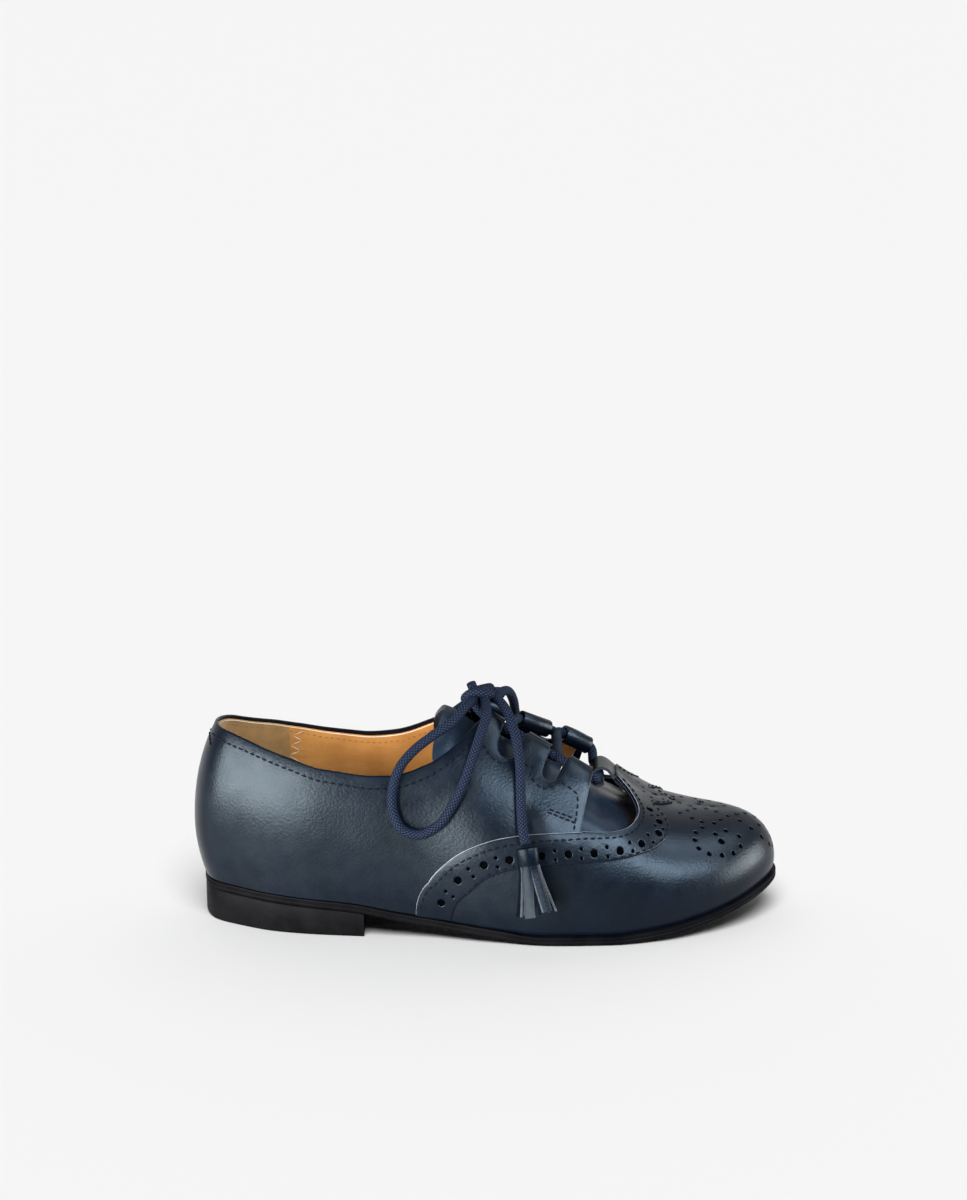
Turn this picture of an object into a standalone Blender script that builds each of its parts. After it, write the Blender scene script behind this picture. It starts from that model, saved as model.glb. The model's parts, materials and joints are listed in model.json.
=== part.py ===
"""A child's laced brogue with folded lace tabs: the right shoe of a pair, standing empty on its sole.

The toe points along +X, the outer (lateral) side faces -Y and +Z is up. Sizes are written in
millimetres, measured from a point on the floor below the back of the heel, and the whole shoe hangs
on one empty that puts the middle of its footprint at the origin.
"""

import math

import bmesh
import bpy
import numpy as np
from mathutils.geometry import delaunay_2d_cdt

MM = 0.001
GAP = 0.3
LATERAL, MEDIAL = -1, 1

# Driving sizes of the last, the leather, the sole and the lace
UPPER_BACK, UPPER_TIP = 0.3, 189.4
SOLE_BACK, SOLE_TIP = 3.4, 190.0
RIDGE_BACK, RIDGE_TIP = 30.0, 171.0
WALL = 2.0
LASTING_MARGIN = 7.0
WIDEST_SHARE = 0.22
GIRTH = 62.0
SOLE_THICK = 2.9
SOLE_DROP = GAP + SOLE_THICK
HEEL_BREAST = 56.0
INSOLE_THICK = 2.0
TONGUE_THICK = 2.0
BAND_THICK = 1.0
LOOP_RADIUS, LOOP_BORE = 2.6, 1.85
LACE = 3.1

# Sole edge seen from above: place along the shoe, lateral edge, medial edge
SOLE_OUTLINE = (
    (3.4, 0.0, 0.0),
    (7.0, -12.0, 12.0),
    (16.0, -18.6, 18.6),
    (27.0, -24.0, 24.0),
    (40.0, -27.0, 26.5),
    (56.0, -28.8, 26.8),
    (76.0, -30.6, 25.8),
    (98.0, -35.0, 29.5),
    (118.0, -37.4, 34.8),
    (134.0, -36.8, 36.2),
    (150.0, -33.6, 35.6),
    (165.0, -27.4, 31.8),
    (177.0, -19.4, 25.6),
    (185.5, -9.6, 17.2),
    (190.0, 3.4, 3.4),
)

# Sections of the last: place along the shoe, height of the sole edge, rise from there to the widest
# line, how far the sole edge is tucked in below it, and how much wider the upper is than the sole
SECTIONS = (
    (3.4, 13.6, 18.0, 3.2, 1.06),
    (20.0, 13.2, 18.0, 2.6, 1.06),
    (38.0, 12.2, 17.0, 2.0, 1.05),
    (52.0, 11.2, 15.0, 1.8, 1.04),
    (67.0, 8.6, 13.0, 1.8, 1.03),
    (82.0, 6.5, 12.0, 1.8, 1.02),
    (98.0, 4.8, 10.0, 1.6, 1.01),
    (112.0, 3.2, 9.0, 1.6, 1.0),
    (134.0, 3.2, 8.0, 1.4, 1.0),
    (150.0, 4.3, 7.0, 1.2, 1.0),
    (165.0, 6.7, 6.0, 1.0, 1.0),
    (177.0, 9.6, 5.0, 0.8, 1.0),
    (190.0, 13.2, 4.0, 0.8, 1.0),
)

# Ridge of the last: place along the shoe, height, sideways place, and the roundness of the section
# there (1 is an ellipse, less is fuller)
RIDGE = (
    (30.0, 80.0, 0.0, 1.0),
    (60.0, 79.0, 0.0, 1.0),
    (83.0, 77.0, 0.5, 1.0),
    (96.0, 72.0, 1.0, 1.0),
    (105.0, 67.0, 1.5, 1.0),
    (115.0, 61.5, 2.0, 1.0),
    (125.0, 55.8, 2.5, 0.98),
    (132.0, 50.2, 3.0, 0.97),
    (137.0, 44.8, 3.3, 0.96),
    (142.0, 40.0, 3.6, 0.95),
    (148.0, 36.9, 4.0, 0.93),
    (157.0, 34.4, 4.2, 0.9),
    (166.0, 33.2, 4.0, 0.88),
    (171.0, 32.6, 3.6, 0.88),
)


def column(table, number):
    return np.array([row[number] for row in table], float)


def smooth(xs, ys, at):
    """A cubic curve through the points that never overshoots them, read at the places asked for."""
    xs, ys, at = np.asarray(xs, float), np.asarray(ys, float), np.asarray(at, float)
    step, slope = np.diff(xs), np.diff(ys) / np.diff(xs)
    before, after = slope[:-1], slope[1:]
    weight_before, weight_after = 2 * step[1:] + step[:-1], step[1:] + 2 * step[:-1]
    rising = before * after > 0
    safe_before, safe_after = np.where(rising, before, 1.0), np.where(rising, after, 1.0)
    inner = (weight_before + weight_after) / (weight_before / safe_before + weight_after / safe_after)
    tangent = np.concatenate([[slope[0]], np.where(rising, inner, 0.0), [slope[-1]]])
    k = np.clip(np.searchsorted(xs, at) - 1, 0, len(xs) - 2)
    t = np.clip((at - xs[k]) / step[k], 0.0, 1.0)
    return (
        ys[k] * (1 + 2 * t) * (1 - t) ** 2
        + ys[k + 1] * t**2 * (3 - 2 * t)
        + step[k] * (tangent[k] * t * (1 - t) ** 2 + tangent[k + 1] * t**2 * (t - 1))
    )


def along(turn):
    """Share of the shoe's length at a turn, which goes from 0 at the heel to pi at the toe."""
    return (1 - np.cos(turn)) / 2


def sole_edge_y(turn, side):
    """Sideways place of the sole edge. The turn keeps both ends round."""
    shares = (column(SOLE_OUTLINE, 0) - SOLE_BACK) / (SOLE_TIP - SOLE_BACK)
    turns = np.arccos(1 - 2 * shares)
    lateral = smooth(turns, column(SOLE_OUTLINE, 1), turn)
    medial = smooth(turns, column(SOLE_OUTLINE, 2), turn)
    return np.where(np.asarray(side) < 0, lateral, medial)


def section(number, x):
    return smooth(column(SECTIONS, 0), column(SECTIONS, number), x)


def ridge(number, x):
    return smooth(column(RIDGE, 0), column(RIDGE, number), x)


def feather_z(x):
    return section(1, x)


def last_point(turn, side, share):
    """Outer face of the upper. Share is 0 at the sole edge, WIDEST_SHARE at the widest line, 1 on the ridge."""
    turn, side, share = np.broadcast_arrays(*[np.asarray(v, float) for v in (turn, side, share)])
    part = along(turn)
    wide_x = UPPER_BACK + (UPPER_TIP - UPPER_BACK) * part
    wide_y = sole_edge_y(turn, side) * section(4, wide_x)
    ridge_x = RIDGE_BACK + (RIDGE_TIP - RIDGE_BACK) * part
    ridge_y, ridge_z, fullness = ridge(2, ridge_x), ridge(1, ridge_x), ridge(3, ridge_x)
    across_x, across_y = wide_x - ridge_x, wide_y - ridge_y
    tuck = section(3, wide_x) / np.maximum(np.hypot(across_x, across_y), 1e-6)
    low_z = feather_z(wide_x - across_x * tuck)
    wide_z = low_z + section(2, wide_x)
    low = np.clip(share / WIDEST_SHARE, 0.0, 1.0)
    angle = np.clip((share - WIDEST_SHARE) / (1 - WIDEST_SHARE), 0.0, 1.0) * math.pi / 2
    reach = np.cos(angle) ** fullness - tuck * (1 - low) ** 2
    lower_z = low_z + (wide_z - low_z) * low
    upper_z = wide_z + (ridge_z - wide_z) * np.sin(angle)
    z = np.where(share < WIDEST_SHARE, lower_z, upper_z)
    return np.stack([ridge_x + across_x * reach, ridge_y + across_y * reach, z], -1)


def last_normal(turn, side, share):
    """Outward direction of the upper's face."""
    turn, side, share = np.broadcast_arrays(*[np.asarray(v, float) for v in (turn, side, share)])
    small = 1e-4
    back, ahead = np.clip(turn - small, 0, math.pi), np.clip(turn + small, 0, math.pi)
    lower, upper = np.clip(share - small, 0, 1), np.clip(share + small, 0, 1)
    along_shoe = last_point(ahead, side, share) - last_point(back, side, share)
    up_side = last_point(turn, side, upper) - last_point(turn, side, lower)
    normal = np.cross(along_shoe, up_side) * -side[..., None]
    ridge_x = RIDGE_BACK + (RIDGE_TIP - RIDGE_BACK) * along(turn)
    rise = ridge(1, ridge_x + 0.5) - ridge(1, ridge_x - 0.5)
    top = np.stack([-rise, np.zeros_like(rise), np.ones_like(rise)], -1)
    normal = np.where((share > 0.995)[..., None], top, normal)
    return normal / np.linalg.norm(normal, axis=-1, keepdims=True)


def skin(turn, side, share, lift=0.0):
    """A point lift millimetres outside the upper's face. A share below 0 is the margin turned in under the foot."""
    turn, side, share, lift = np.broadcast_arrays(*[np.asarray(v, float) for v in (turn, side, share, lift)])
    walls = np.maximum(share, 0.0)
    point = last_point(turn, side, walls) + last_normal(turn, side, walls) * lift[..., None]
    point[..., 2] = np.maximum(point[..., 2], feather_z(point[..., 0]) + np.maximum(-lift, 0.0))
    edge = last_point(turn, side, 0.0 * share)
    inward = last_normal(turn, side, 0.0 * share) * -1.0
    inward[..., 2] = 0.0
    inward /= np.linalg.norm(inward, axis=-1, keepdims=True)
    margin = edge + inward * np.maximum(-share * GIRTH, -lift)[..., None]
    margin[..., 2] = feather_z(margin[..., 0]) - lift
    return np.where((share < 1e-6)[..., None], margin, point)


def turn_at(station):
    """The turn at a place along the shoe, in millimetres from the heel."""
    return np.arccos(1 - 2 * np.clip((np.asarray(station, float) - UPPER_BACK) / (UPPER_TIP - UPPER_BACK), 0, 1))


# How far the tops of the lace tabs stand out from the last: place along the shoe, distance outward
TAB_STAND = (
    (78.0, 0.0),
    (96.0, 0.3),
    (111.0, 1.9),
    (127.0, 4.3),
    (132.0, 4.3),
    (136.0, 0.0),
)
STAND_FROM, STAND_SPAN, STAND_RISE = 0.56, 0.27, 0.33


def quarter_skin(turn, side, share, lift=0.0):
    """The same as skin, with the lace tabs standing up and outward from the last towards their tops."""
    turn, side, share = np.broadcast_arrays(*[np.asarray(v, float) for v in (turn, side, share)])
    station = UPPER_BACK + (UPPER_TIP - UPPER_BACK) * along(turn)
    part = np.clip((share - STAND_FROM) / STAND_SPAN, 0, 1)
    out = smooth(column(TAB_STAND, 0), column(TAB_STAND, 1), station) * part * part * (3 - 2 * part)
    return skin(turn, side, share, lift) + np.stack([0 * out, side * out, STAND_RISE * out], -1)


# Patterns: flat outlines in millimetres, place along the shoe against girth from the sole edge

# Collar top line from the back to the first tab: place along the shoe, lateral share, medial share
COLLAR = (
    (0.3, 0.585, 0.585),
    (5.2, 0.576, 0.562),
    (11.0, 0.562, 0.54),
    (20.7, 0.534, 0.512),
    (29.5, 0.512, 0.494),
    (41.0, 0.489, 0.482),
    (51.7, 0.489, 0.486),
    (62.0, 0.506, 0.516),
    (75.0, 0.572, 0.60),
    (82.5, 0.663, 0.69),
    (87.0, 0.752, 0.765),
)
# Lace tabs, as corners of the top line: place along the shoe, share, radius of the corner
TABS = (
    (91.0, 0.862, 2.0),
    (97.4, 0.85, 1.6),
    (95.8, 0.68, 3.0),
    (101.8, 0.688, 3.0),
    (106.2, 0.846, 0.9),
    (115.6, 0.824, 0.9),
    (111.3, 0.655, 2.3),
    (116.6, 0.664, 2.3),
    (122.0, 0.815, 0.9),
    (131.5, 0.806, 0.9),
    (124.9, 0.502, 0.4),
)
# Rear edge of the toe's wing: up from the sole, then forward to the foot of the quarter
WING_TOP = (
    (72.2, 0.012),
    (73.6, 0.10),
    (76.9, 0.21),
    (83.4, 0.301),
    (93.0, 0.376),
    (105.2, 0.439),
    (124.9, 0.499),
)
# The same edge from the quarter round the open throat to the loop on the centre line
WING_THROAT = (
    (124.9, 0.502),
    (131.6, 0.521),
    (137.5, 0.552),
    (141.5, 0.596),
    (144.8, 0.66),
    (147.0, 0.735),
    (147.2, 0.80),
    (145.8, 0.868),
    (142.4, 0.915),
    (136.4, 0.922),
)
# Front edge of the wing: up from the sole, forward, round the side lobe to a notch, then the centre lobe
WING_FRONT = (
    (83.4, 0.012),
    (85.0, 0.098),
    (88.8, 0.203),
    (94.3, 0.271),
    (101.0, 0.316),
    (113.5, 0.363),
    (124.5, 0.388),
    (137.7, 0.436),
    (148.2, 0.524),
    (155.6, 0.632),
    (158.2, 0.72),
    (157.6, 0.81),
    (156.4, 0.885),
)
WING_LOBE = (
    (156.4, 0.885),
    (160.0, 0.902),
    (164.0, 0.936),
    (167.6, 0.975),
    (168.8, 1.0),
)


def flowing(points, spacing):
    """Points at an even spacing on a smooth curve through a few (place, share) rows."""
    points = np.array(points, float) * (1.0, GIRTH)
    knots = np.concatenate([[0], np.cumsum(np.linalg.norm(np.diff(points, axis=0), axis=1))])
    count = max(2, int(round(knots[-1] / spacing)) + 1)
    tangents = np.gradient(points, knots, axis=0)
    places = np.linspace(0, knots[-1], count)
    k = np.clip(np.searchsorted(knots, places, side="right") - 1, 0, len(knots) - 2)
    step = (knots[k + 1] - knots[k])[:, None]
    t = (places[:, None] - knots[k][:, None]) / step
    curve = (
        points[k] * (1 + 2 * t) * (1 - t) ** 2
        + points[k + 1] * t**2 * (3 - 2 * t)
        + step * (tangents[k] * t * (1 - t) ** 2 + tangents[k + 1] * t**2 * (t - 1))
    )
    return curve / (1.0, GIRTH)


def rounded(rows, start, end, arc_steps=4):
    """Straight lines through corner rows (place, share, radius), each corner rounded to its radius."""
    flat = [np.array(start) * (1.0, GIRTH)]
    flat += [np.array(row[:2]) * (1.0, GIRTH) for row in rows]
    flat += [np.array(end) * (1.0, GIRTH)]
    line = []
    for before, corner, after, row in zip(flat, flat[1:], flat[2:], rows):
        one, two = before - corner, after - corner
        one, two = one / np.linalg.norm(one), two / np.linalg.norm(two)
        half = math.acos(max(-1.0, min(1.0, float(one @ two)))) / 2
        run = row[2] / math.tan(half)
        for step in range(arc_steps + 1):
            t = step / arc_steps
            line.append(corner + one * run * (1 - t) ** 2 + two * run * t**2)
    return np.array(line) / (1.0, GIRTH)


def divided(line, spacing):
    """The same line with points added so that no stretch is longer than the spacing."""
    line = np.asarray(line, float)
    parts = []
    for a, b in zip(line, line[1:]):
        steps = max(1, math.ceil(np.linalg.norm((b - a) * (1.0, GIRTH)) / spacing))
        parts += [a + (b - a) * k / steps for k in range(steps)]
    return np.array(parts + [line[-1]])


def top_line(side, spacing):
    """The quarter's upper edge on one side, from the back seam to the foot of its front edge."""
    stations = column(COLLAR, 0)
    shares = column(COLLAR, 1 if side < 0 else 2)
    turns = np.linspace(0, turn_at(stations[-1]), int(120 / spacing))
    collar = np.stack([UPPER_BACK + (UPPER_TIP - UPPER_BACK) * along(turns), smooth(turn_at(stations), shares, turns)], -1)
    return divided(np.concatenate([collar, rounded(TABS, collar[-1], WING_THROAT[1])]), spacing * 1.8)


def signed(path, side):
    """(place, share) rows turned into (turn, q), where q is -1 at the lateral sole edge and +1 at the medial one."""
    path = np.asarray(path, float)
    return np.stack([turn_at(path[:, 0]), side * (1 - path[:, 1])], -1)


# Pieces

FLAT_TURN = 75.0


def metres(points):
    return [tuple(float(v) * MM for v in point) for point in points]


def new_object(name, mesh_or_curve, material, root):
    item = bpy.data.objects.new(name, mesh_or_curve)
    bpy.context.scene.collection.objects.link(item)
    item.data.materials.append(material)
    item.parent = root
    return item


def solid_from(bm, name, material, root):
    """A closed object from a bmesh whose places are in millimetres."""
    bmesh.ops.remove_doubles(bm, verts=bm.verts, dist=0.004)
    bmesh.ops.dissolve_degenerate(bm, edges=bm.edges, dist=0.002)
    bmesh.ops.recalc_face_normals(bm, faces=bm.faces)
    bmesh.ops.scale(bm, vec=(MM, MM, MM), verts=bm.verts)
    mesh = bpy.data.meshes.new(name)
    bm.to_mesh(mesh)
    bm.free()
    return new_object(name, mesh, material, root)


def inside(polygon, points):
    """Which points lie inside a closed polygon."""
    a, b = polygon, np.roll(polygon, -1, axis=0)
    x, y = points[:, 0][:, None], points[:, 1][:, None]
    spans = (a[:, 1] > y) != (b[:, 1] > y)
    rise = np.where(b[:, 1] == a[:, 1], 1.0, b[:, 1] - a[:, 1])
    crossing = a[:, 0] + (y - a[:, 1]) * (b[:, 0] - a[:, 0]) / rise
    return (spans & (x < crossing)).sum(1) % 2 == 1


def far_from(polygon, points, distance):
    """Which points keep a distance from a closed polygon's edges."""
    a, b = polygon, np.roll(polygon, -1, axis=0)
    run = b - a
    length = np.maximum((run**2).sum(1), 1e-9)
    t = np.clip(((points[:, None] - a) * run).sum(-1) / length, 0, 1)
    return np.linalg.norm(points[:, None] - (a + t[..., None] * run), axis=-1).min(1) > distance


def flat_sheet(outline, turns, shares, clearance, crease=None):
    """Triangles over a closed (turn, q) outline, with inner points on a grid of turns and girth shares."""
    scale = np.array([FLAT_TURN, GIRTH])
    polygon = np.asarray(outline) * scale
    q = np.concatenate([-(1 - np.asarray(shares)), (1 - np.asarray(shares))[::-1]])
    grid = np.stack(np.meshgrid(turns, np.unique(np.round(q, 6)), indexing="ij"), -1).reshape(-1, 2) * scale
    grid = grid[inside(polygon, grid)]
    grid = grid[far_from(polygon, grid, clearance)]
    points = np.concatenate([polygon, grid])
    ring = list(range(len(polygon)))
    edges = []
    if crease is not None:
        for value in (-crease, crease):
            row = [n for n, p in enumerate(points) if abs(p[1] - value * GIRTH) < 1e-4]
            row.sort(key=lambda n: points[n][0])
            edges += list(zip(row, row[1:]))
    edges += list(zip(ring, ring[1:] + ring[:1]))
    places, _, faces, _, _, _ = delaunay_2d_cdt([tuple(p) for p in points], edges, [], 0, 1e-6, False)
    places = np.array([tuple(p) for p in places])
    middles = np.array([places[list(face)].mean(0) for face in faces])
    faces = [list(face) for face, kept in zip(faces, inside(polygon, middles)) if kept]
    return places / scale, faces


def shell(sheet, outer, inner, seams):
    """A closed sheet of leather: two mapped faces of a flat sheet joined round its edge, seams left out."""
    places, faces = sheet
    bm = bmesh.new()
    top = [bm.verts.new(p) for p in outer(places)]
    bottom = [bm.verts.new(p) for p in inner(places)]
    counts = {}
    for face in faces:
        bm.faces.new([top[n] for n in face])
        bm.faces.new([bottom[n] for n in reversed(face)])
        for a, b in zip(face, face[1:] + face[:1]):
            counts[frozenset((a, b))] = counts.get(frozenset((a, b)), []) + [(a, b)]
    for uses in counts.values():
        a, b = uses[0]
        on_seam = any(abs(places[a][0] - s) < 1e-6 and abs(places[b][0] - s) < 1e-6 for s in seams)
        if len(uses) == 1 and not on_seam:
            bm.faces.new([top[b], top[a], bottom[a], bottom[b]])
    return bm


def mapped(lift, surface=skin):
    """A map from flat (turn, q) places to points at a lift from the upper's face."""

    def face(places):
        side = np.where(places[:, 1] < 0, LATERAL, MEDIAL)
        return surface(places[:, 0], side, 1 - np.abs(places[:, 1]), lift)

    return face


def throat_line(spacing):
    """The whole edge of the foot opening: lateral side from the back, round the throat, medial side to the back."""
    lateral = signed(np.concatenate([top_line(LATERAL, spacing), flowing(WING_THROAT, spacing)[1:]]), LATERAL)
    medial = signed(np.concatenate([top_line(MEDIAL, spacing), flowing(WING_THROAT, spacing)[1:]]), MEDIAL)
    return np.concatenate([lateral, medial[::-1]])


def build_upper(material, root):
    margin = -LASTING_MARGIN / GIRTH
    turns = np.linspace(0, math.pi, 45)
    walls = [0.0, 0.1, 0.22, 0.34, 0.46, 0.58, 0.7, 0.82, 0.92, 1.0]
    opening = throat_line(3.2)
    back = 1 - opening[0, 1] * -1
    heel_shares = [margin] + [s for s in walls if s < back - 0.03]
    toe_shares = [margin] + walls
    lateral_rim = [(t, -(1 - margin)) for t in turns]
    toe_seam = [(math.pi, -(1 - s)) for s in toe_shares[1:]] + [(math.pi, 1 - s) for s in toe_shares[-2::-1]]
    medial_rim = [(t, 1 - margin) for t in turns[-2::-1]]
    heel_medial = [(0.0, 1 - s) for s in heel_shares[1:]]
    heel_lateral = [(0.0, -(1 - s)) for s in heel_shares[:0:-1]]
    outline = lateral_rim + toe_seam + medial_rim + heel_medial + [tuple(p) for p in opening[::-1]] + heel_lateral
    sheet = flat_sheet(np.array(outline), turns, toe_shares, 1.3, crease=1.0)
    bm = shell(sheet, mapped(0.0, quarter_skin), mapped(-WALL, quarter_skin), (0.0, math.pi))
    return solid_from(bm, "upper", material, root)


def edge_loop(count, last_turn=math.pi, inset=0.0):
    """The sole edge as a closed loop: lateral from the heel to the toe, then medial back, moved in by an inset."""
    turns = np.linspace(0, last_turn, count)
    x = SOLE_BACK + (SOLE_TIP - SOLE_BACK) * along(turns)
    lateral = np.stack([x, sole_edge_y(turns, LATERAL)], -1)
    medial = np.stack([x, sole_edge_y(turns, MEDIAL)], -1)
    if last_turn == math.pi:
        loop = np.concatenate([lateral, medial[-2:0:-1]])
    else:
        loop = np.concatenate([lateral, medial[:0:-1]])
    run = np.roll(loop, -1, axis=0) - np.roll(loop, 1, axis=0)
    inward = np.stack([-run[:, 1], run[:, 0]], -1)
    inward /= np.linalg.norm(inward, axis=1, keepdims=True)
    return loop + inward * inset


def stacked(loops, count):
    """A closed body from loops stacked from bottom to top, its two ends laddered across the shoe."""
    bm = bmesh.new()
    rings = [[bm.verts.new(p) for p in loop] for loop in loops]
    size = len(rings[0])
    for low, high in zip(rings, rings[1:]):
        for k in range(size):
            bm.faces.new([low[k], low[(k + 1) % size], high[(k + 1) % size], high[k]])
    for ring in (rings[0], rings[-1]):
        for k in range(count - 1):
            corners = [ring[k], ring[k + 1], ring[(size - k - 1) % size], ring[(size - k) % size]]
            corners = list(dict.fromkeys(corners))
            if len(corners) > 2:
                bm.faces.new(corners)
    return bm


def build_outsole(material, root):
    """A thin sole whose edge has a lip, a groove below it and a rounded lower corner."""
    steps = ((0.9, -SOLE_DROP), (0.15, -SOLE_DROP + 0.6), (0.0, -1.9), (0.55, -1.6), (0.55, -1.2), (0.1, -1.0), (0.3, -GAP))
    count = 41
    flat_x = edge_loop(count)[:, 0]
    loops = []
    for inset, drop in steps:
        ring = edge_loop(count, inset=inset)
        loops.append(np.column_stack([ring, feather_z(flat_x) + drop]))
    return solid_from(stacked(loops, count), "outsole", material, root)


def build_heel(material, root):
    """A low stacked heel under the back of the sole, with a straight front face."""
    last_turn = float(np.arccos(1 - 2 * (HEEL_BREAST - SOLE_BACK) / (SOLE_TIP - SOLE_BACK)))
    count = 16
    top_x = edge_loop(count, last_turn)[:, 0]
    top_z = feather_z(top_x) - SOLE_DROP - GAP
    loops = []
    for inset, share in ((0.8, 0.0), (0.3, 0.06), (0.2, 0.5), (0.2, 1.0)):
        ring = edge_loop(count, last_turn, inset)
        loops.append(np.column_stack([ring, top_z * share]))
    return solid_from(stacked(loops, count), "heel", material, root)


def build_insole(material, root):
    """A thin board that lies on the turned-in margin."""
    count = 31
    turns = np.linspace(0, math.pi, count)
    lateral = skin(turns, LATERAL, 0.03, -WALL - 1.1)
    medial = skin(turns, MEDIAL, 0.03, -WALL - 1.1)
    ring = np.concatenate([lateral, medial[-2:0:-1]])
    base = feather_z(ring[:, 0]) + WALL + GAP
    loops = [np.column_stack([ring[:, :2], base + rise]) for rise in (0.0, INSOLE_THICK)]
    return solid_from(stacked(loops, count), "insole", material, root)


# Slack of the tongue below the upper's wall on the ridge: place on the ridge, depth
TONGUE_SLACK = (
    (70.0, 5.5),
    (83.0, 6.5),
    (96.0, 9.7),
    (110.0, 9.4),
    (125.0, 9.6),
    (130.0, 9.2),
    (136.0, 6.0),
    (146.0, 0.8),
)
# The tongue's side edge, as corners: place along the shoe, share, radius
TONGUE_EDGE = (
    (157.0, 0.50, 6.0),
    (126.0, 0.44, 20.0),
    (100.0, 0.48, 20.0),
    (76.0, 0.56, 5.0),
)


def tongue_face(lift):
    """The tongue's face: it follows the inside of the upper and sags away from it towards the ridge."""

    def face(places):
        share = 1 - np.abs(places[:, 1])
        point = mapped(-WALL - GAP + lift)(places)
        ridge_x = RIDGE_BACK + (RIDGE_TIP - RIDGE_BACK) * along(places[:, 0])
        depth = smooth(column(TONGUE_SLACK, 0), column(TONGUE_SLACK, 1), ridge_x)
        part = np.clip((share - 0.46) / 0.4, 0, 1)
        point[:, 2] -= depth * part * part * (3 - 2 * part)
        return point

    return face


def build_tongue(material, root):
    edge = divided(rounded(TONGUE_EDGE, (157.0, 0.9), (72.0, 0.9)), 5.0)
    lateral, medial = signed(edge, LATERAL), signed(edge, MEDIAL)
    front = signed([(157.0, s) for s in (0.7, 0.85, 1.0)], MEDIAL)
    front_lateral = signed([(157.0, s) for s in (0.85, 0.7)], LATERAL)
    top = signed([(74.0, 0.7), (72.5, 0.85), (71.5, 1.0)], LATERAL)
    top_medial = signed([(72.5, 0.85), (74.0, 0.7)], MEDIAL)
    outline = np.concatenate([lateral, top, top_medial, medial[::-1], front, front_lateral])
    sheet = flat_sheet(outline, np.linspace(0, math.pi, 37), [0.5, 0.6, 0.7, 0.8, 0.9, 1.0], 2.0)
    bm = shell(sheet, tongue_face(0.0), tongue_face(-TONGUE_THICK), ())
    return solid_from(bm, "tongue", material, root)


def wing_outline(spacing):
    """The wing's edge: rear edge from the lateral sole up round the throat, medial side down, front edge back."""
    rear = np.concatenate([flowing(WING_TOP, spacing), flowing(WING_THROAT, spacing)[1:]])
    front = np.concatenate([flowing(WING_FRONT, spacing), flowing(WING_LOBE, spacing)[1:]])
    loop_end = signed([(WING_THROAT[-1][0], 1.0)], MEDIAL)
    return np.concatenate([
        signed(rear, LATERAL), loop_end, signed(rear[::-1], MEDIAL),
        signed(front, MEDIAL), signed(front[-2::-1], LATERAL),
    ])


def build_wing(material, root):
    sheet = flat_sheet(wing_outline(3.2), np.linspace(0, math.pi, 45), np.arange(0.04, 1.01, 0.08), 1.6)
    bm = shell(sheet, mapped(GAP + BAND_THICK), mapped(GAP), ())
    return solid_from(bm, "wing_band", material, root)


# Lace tabs by their loops: back and front place along the shoe, share of the tab's top there
LOOPS = (
    (91.4, 97.2, 0.856, 0.848),
    (106.6, 115.2, 0.846, 0.826),
    (122.4, 131.0, 0.814, 0.807),
)
THROAT_LOOP_X, THROAT_LOOP_Z = 130.0, 45.0
THROAT_LOOP_MIDDLE, THROAT_LOOP_HALF = 2.9, 5.8


def unit(vector):
    return vector / np.linalg.norm(vector)


def loop_ends(side, number):
    """Back and front end of the bore of a tab's loop, which lies inside the top of the tab."""
    back, front, back_share, front_share = LOOPS[number]
    depth = -WALL - GAP - LOOP_RADIUS
    stations, shares = np.array([back, front]), np.array([back_share, front_share])
    return quarter_skin(turn_at(stations), side, shares, depth)


def throat_loop_ends():
    """Lateral and medial end of the loop at the front of the throat."""
    half = np.array([0.0, THROAT_LOOP_HALF, 0.0])
    middle = np.array([THROAT_LOOP_X, THROAT_LOOP_MIDDLE, THROAT_LOOP_Z])
    return np.array([middle - half, middle + half])


def ring_round(centre, direction, radius, sides):
    """A circle of points round a centre, square to a direction."""
    across = unit(np.cross(direction, (0.0, 0.31, 1.0)))
    up = np.cross(across, direction)
    angles = np.arange(sides) * 2 * math.pi / sides
    return centre + radius * (np.cos(angles)[:, None] * across + np.sin(angles)[:, None] * up)


def build_loop(name, ends, material, root):
    """A strip rolled into a short tube, open at both ends for the lace."""
    sides = 12
    direction = unit(ends[1] - ends[0])
    bm = bmesh.new()
    rings = []
    for centre, radius in ((ends[0], LOOP_RADIUS), (ends[1], LOOP_RADIUS), (ends[1], LOOP_BORE), (ends[0], LOOP_BORE)):
        rings.append([bm.verts.new(p) for p in ring_round(centre, direction, radius, sides)])
    for low, high in zip(rings, rings[1:] + rings[:1]):
        for k in range(sides):
            bm.faces.new([low[k], low[(k + 1) % sides], high[(k + 1) % sides], high[k]])
    return solid_from(bm, name, material, root)


def spaced(route, spacing):
    """Points at an even spacing on a smooth curve through a few points in space."""
    route = np.array(route, float)
    knots = np.concatenate([[0], np.cumsum(np.linalg.norm(np.diff(route, axis=0), axis=1))])
    tangents = np.gradient(route, knots, axis=0)
    places = np.linspace(0, knots[-1], max(3, int(round(knots[-1] / spacing)) + 1))
    k = np.clip(np.searchsorted(knots, places, side="right") - 1, 0, len(knots) - 2)
    step = (knots[k + 1] - knots[k])[:, None]
    t = (places[:, None] - knots[k][:, None]) / step
    return (
        route[k] * (1 + 2 * t) * (1 - t) ** 2
        + route[k + 1] * t**2 * (3 - 2 * t)
        + step * (tangents[k] * t * (1 - t) ** 2 + tangents[k + 1] * t**2 * (t - 1))
    )


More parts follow.
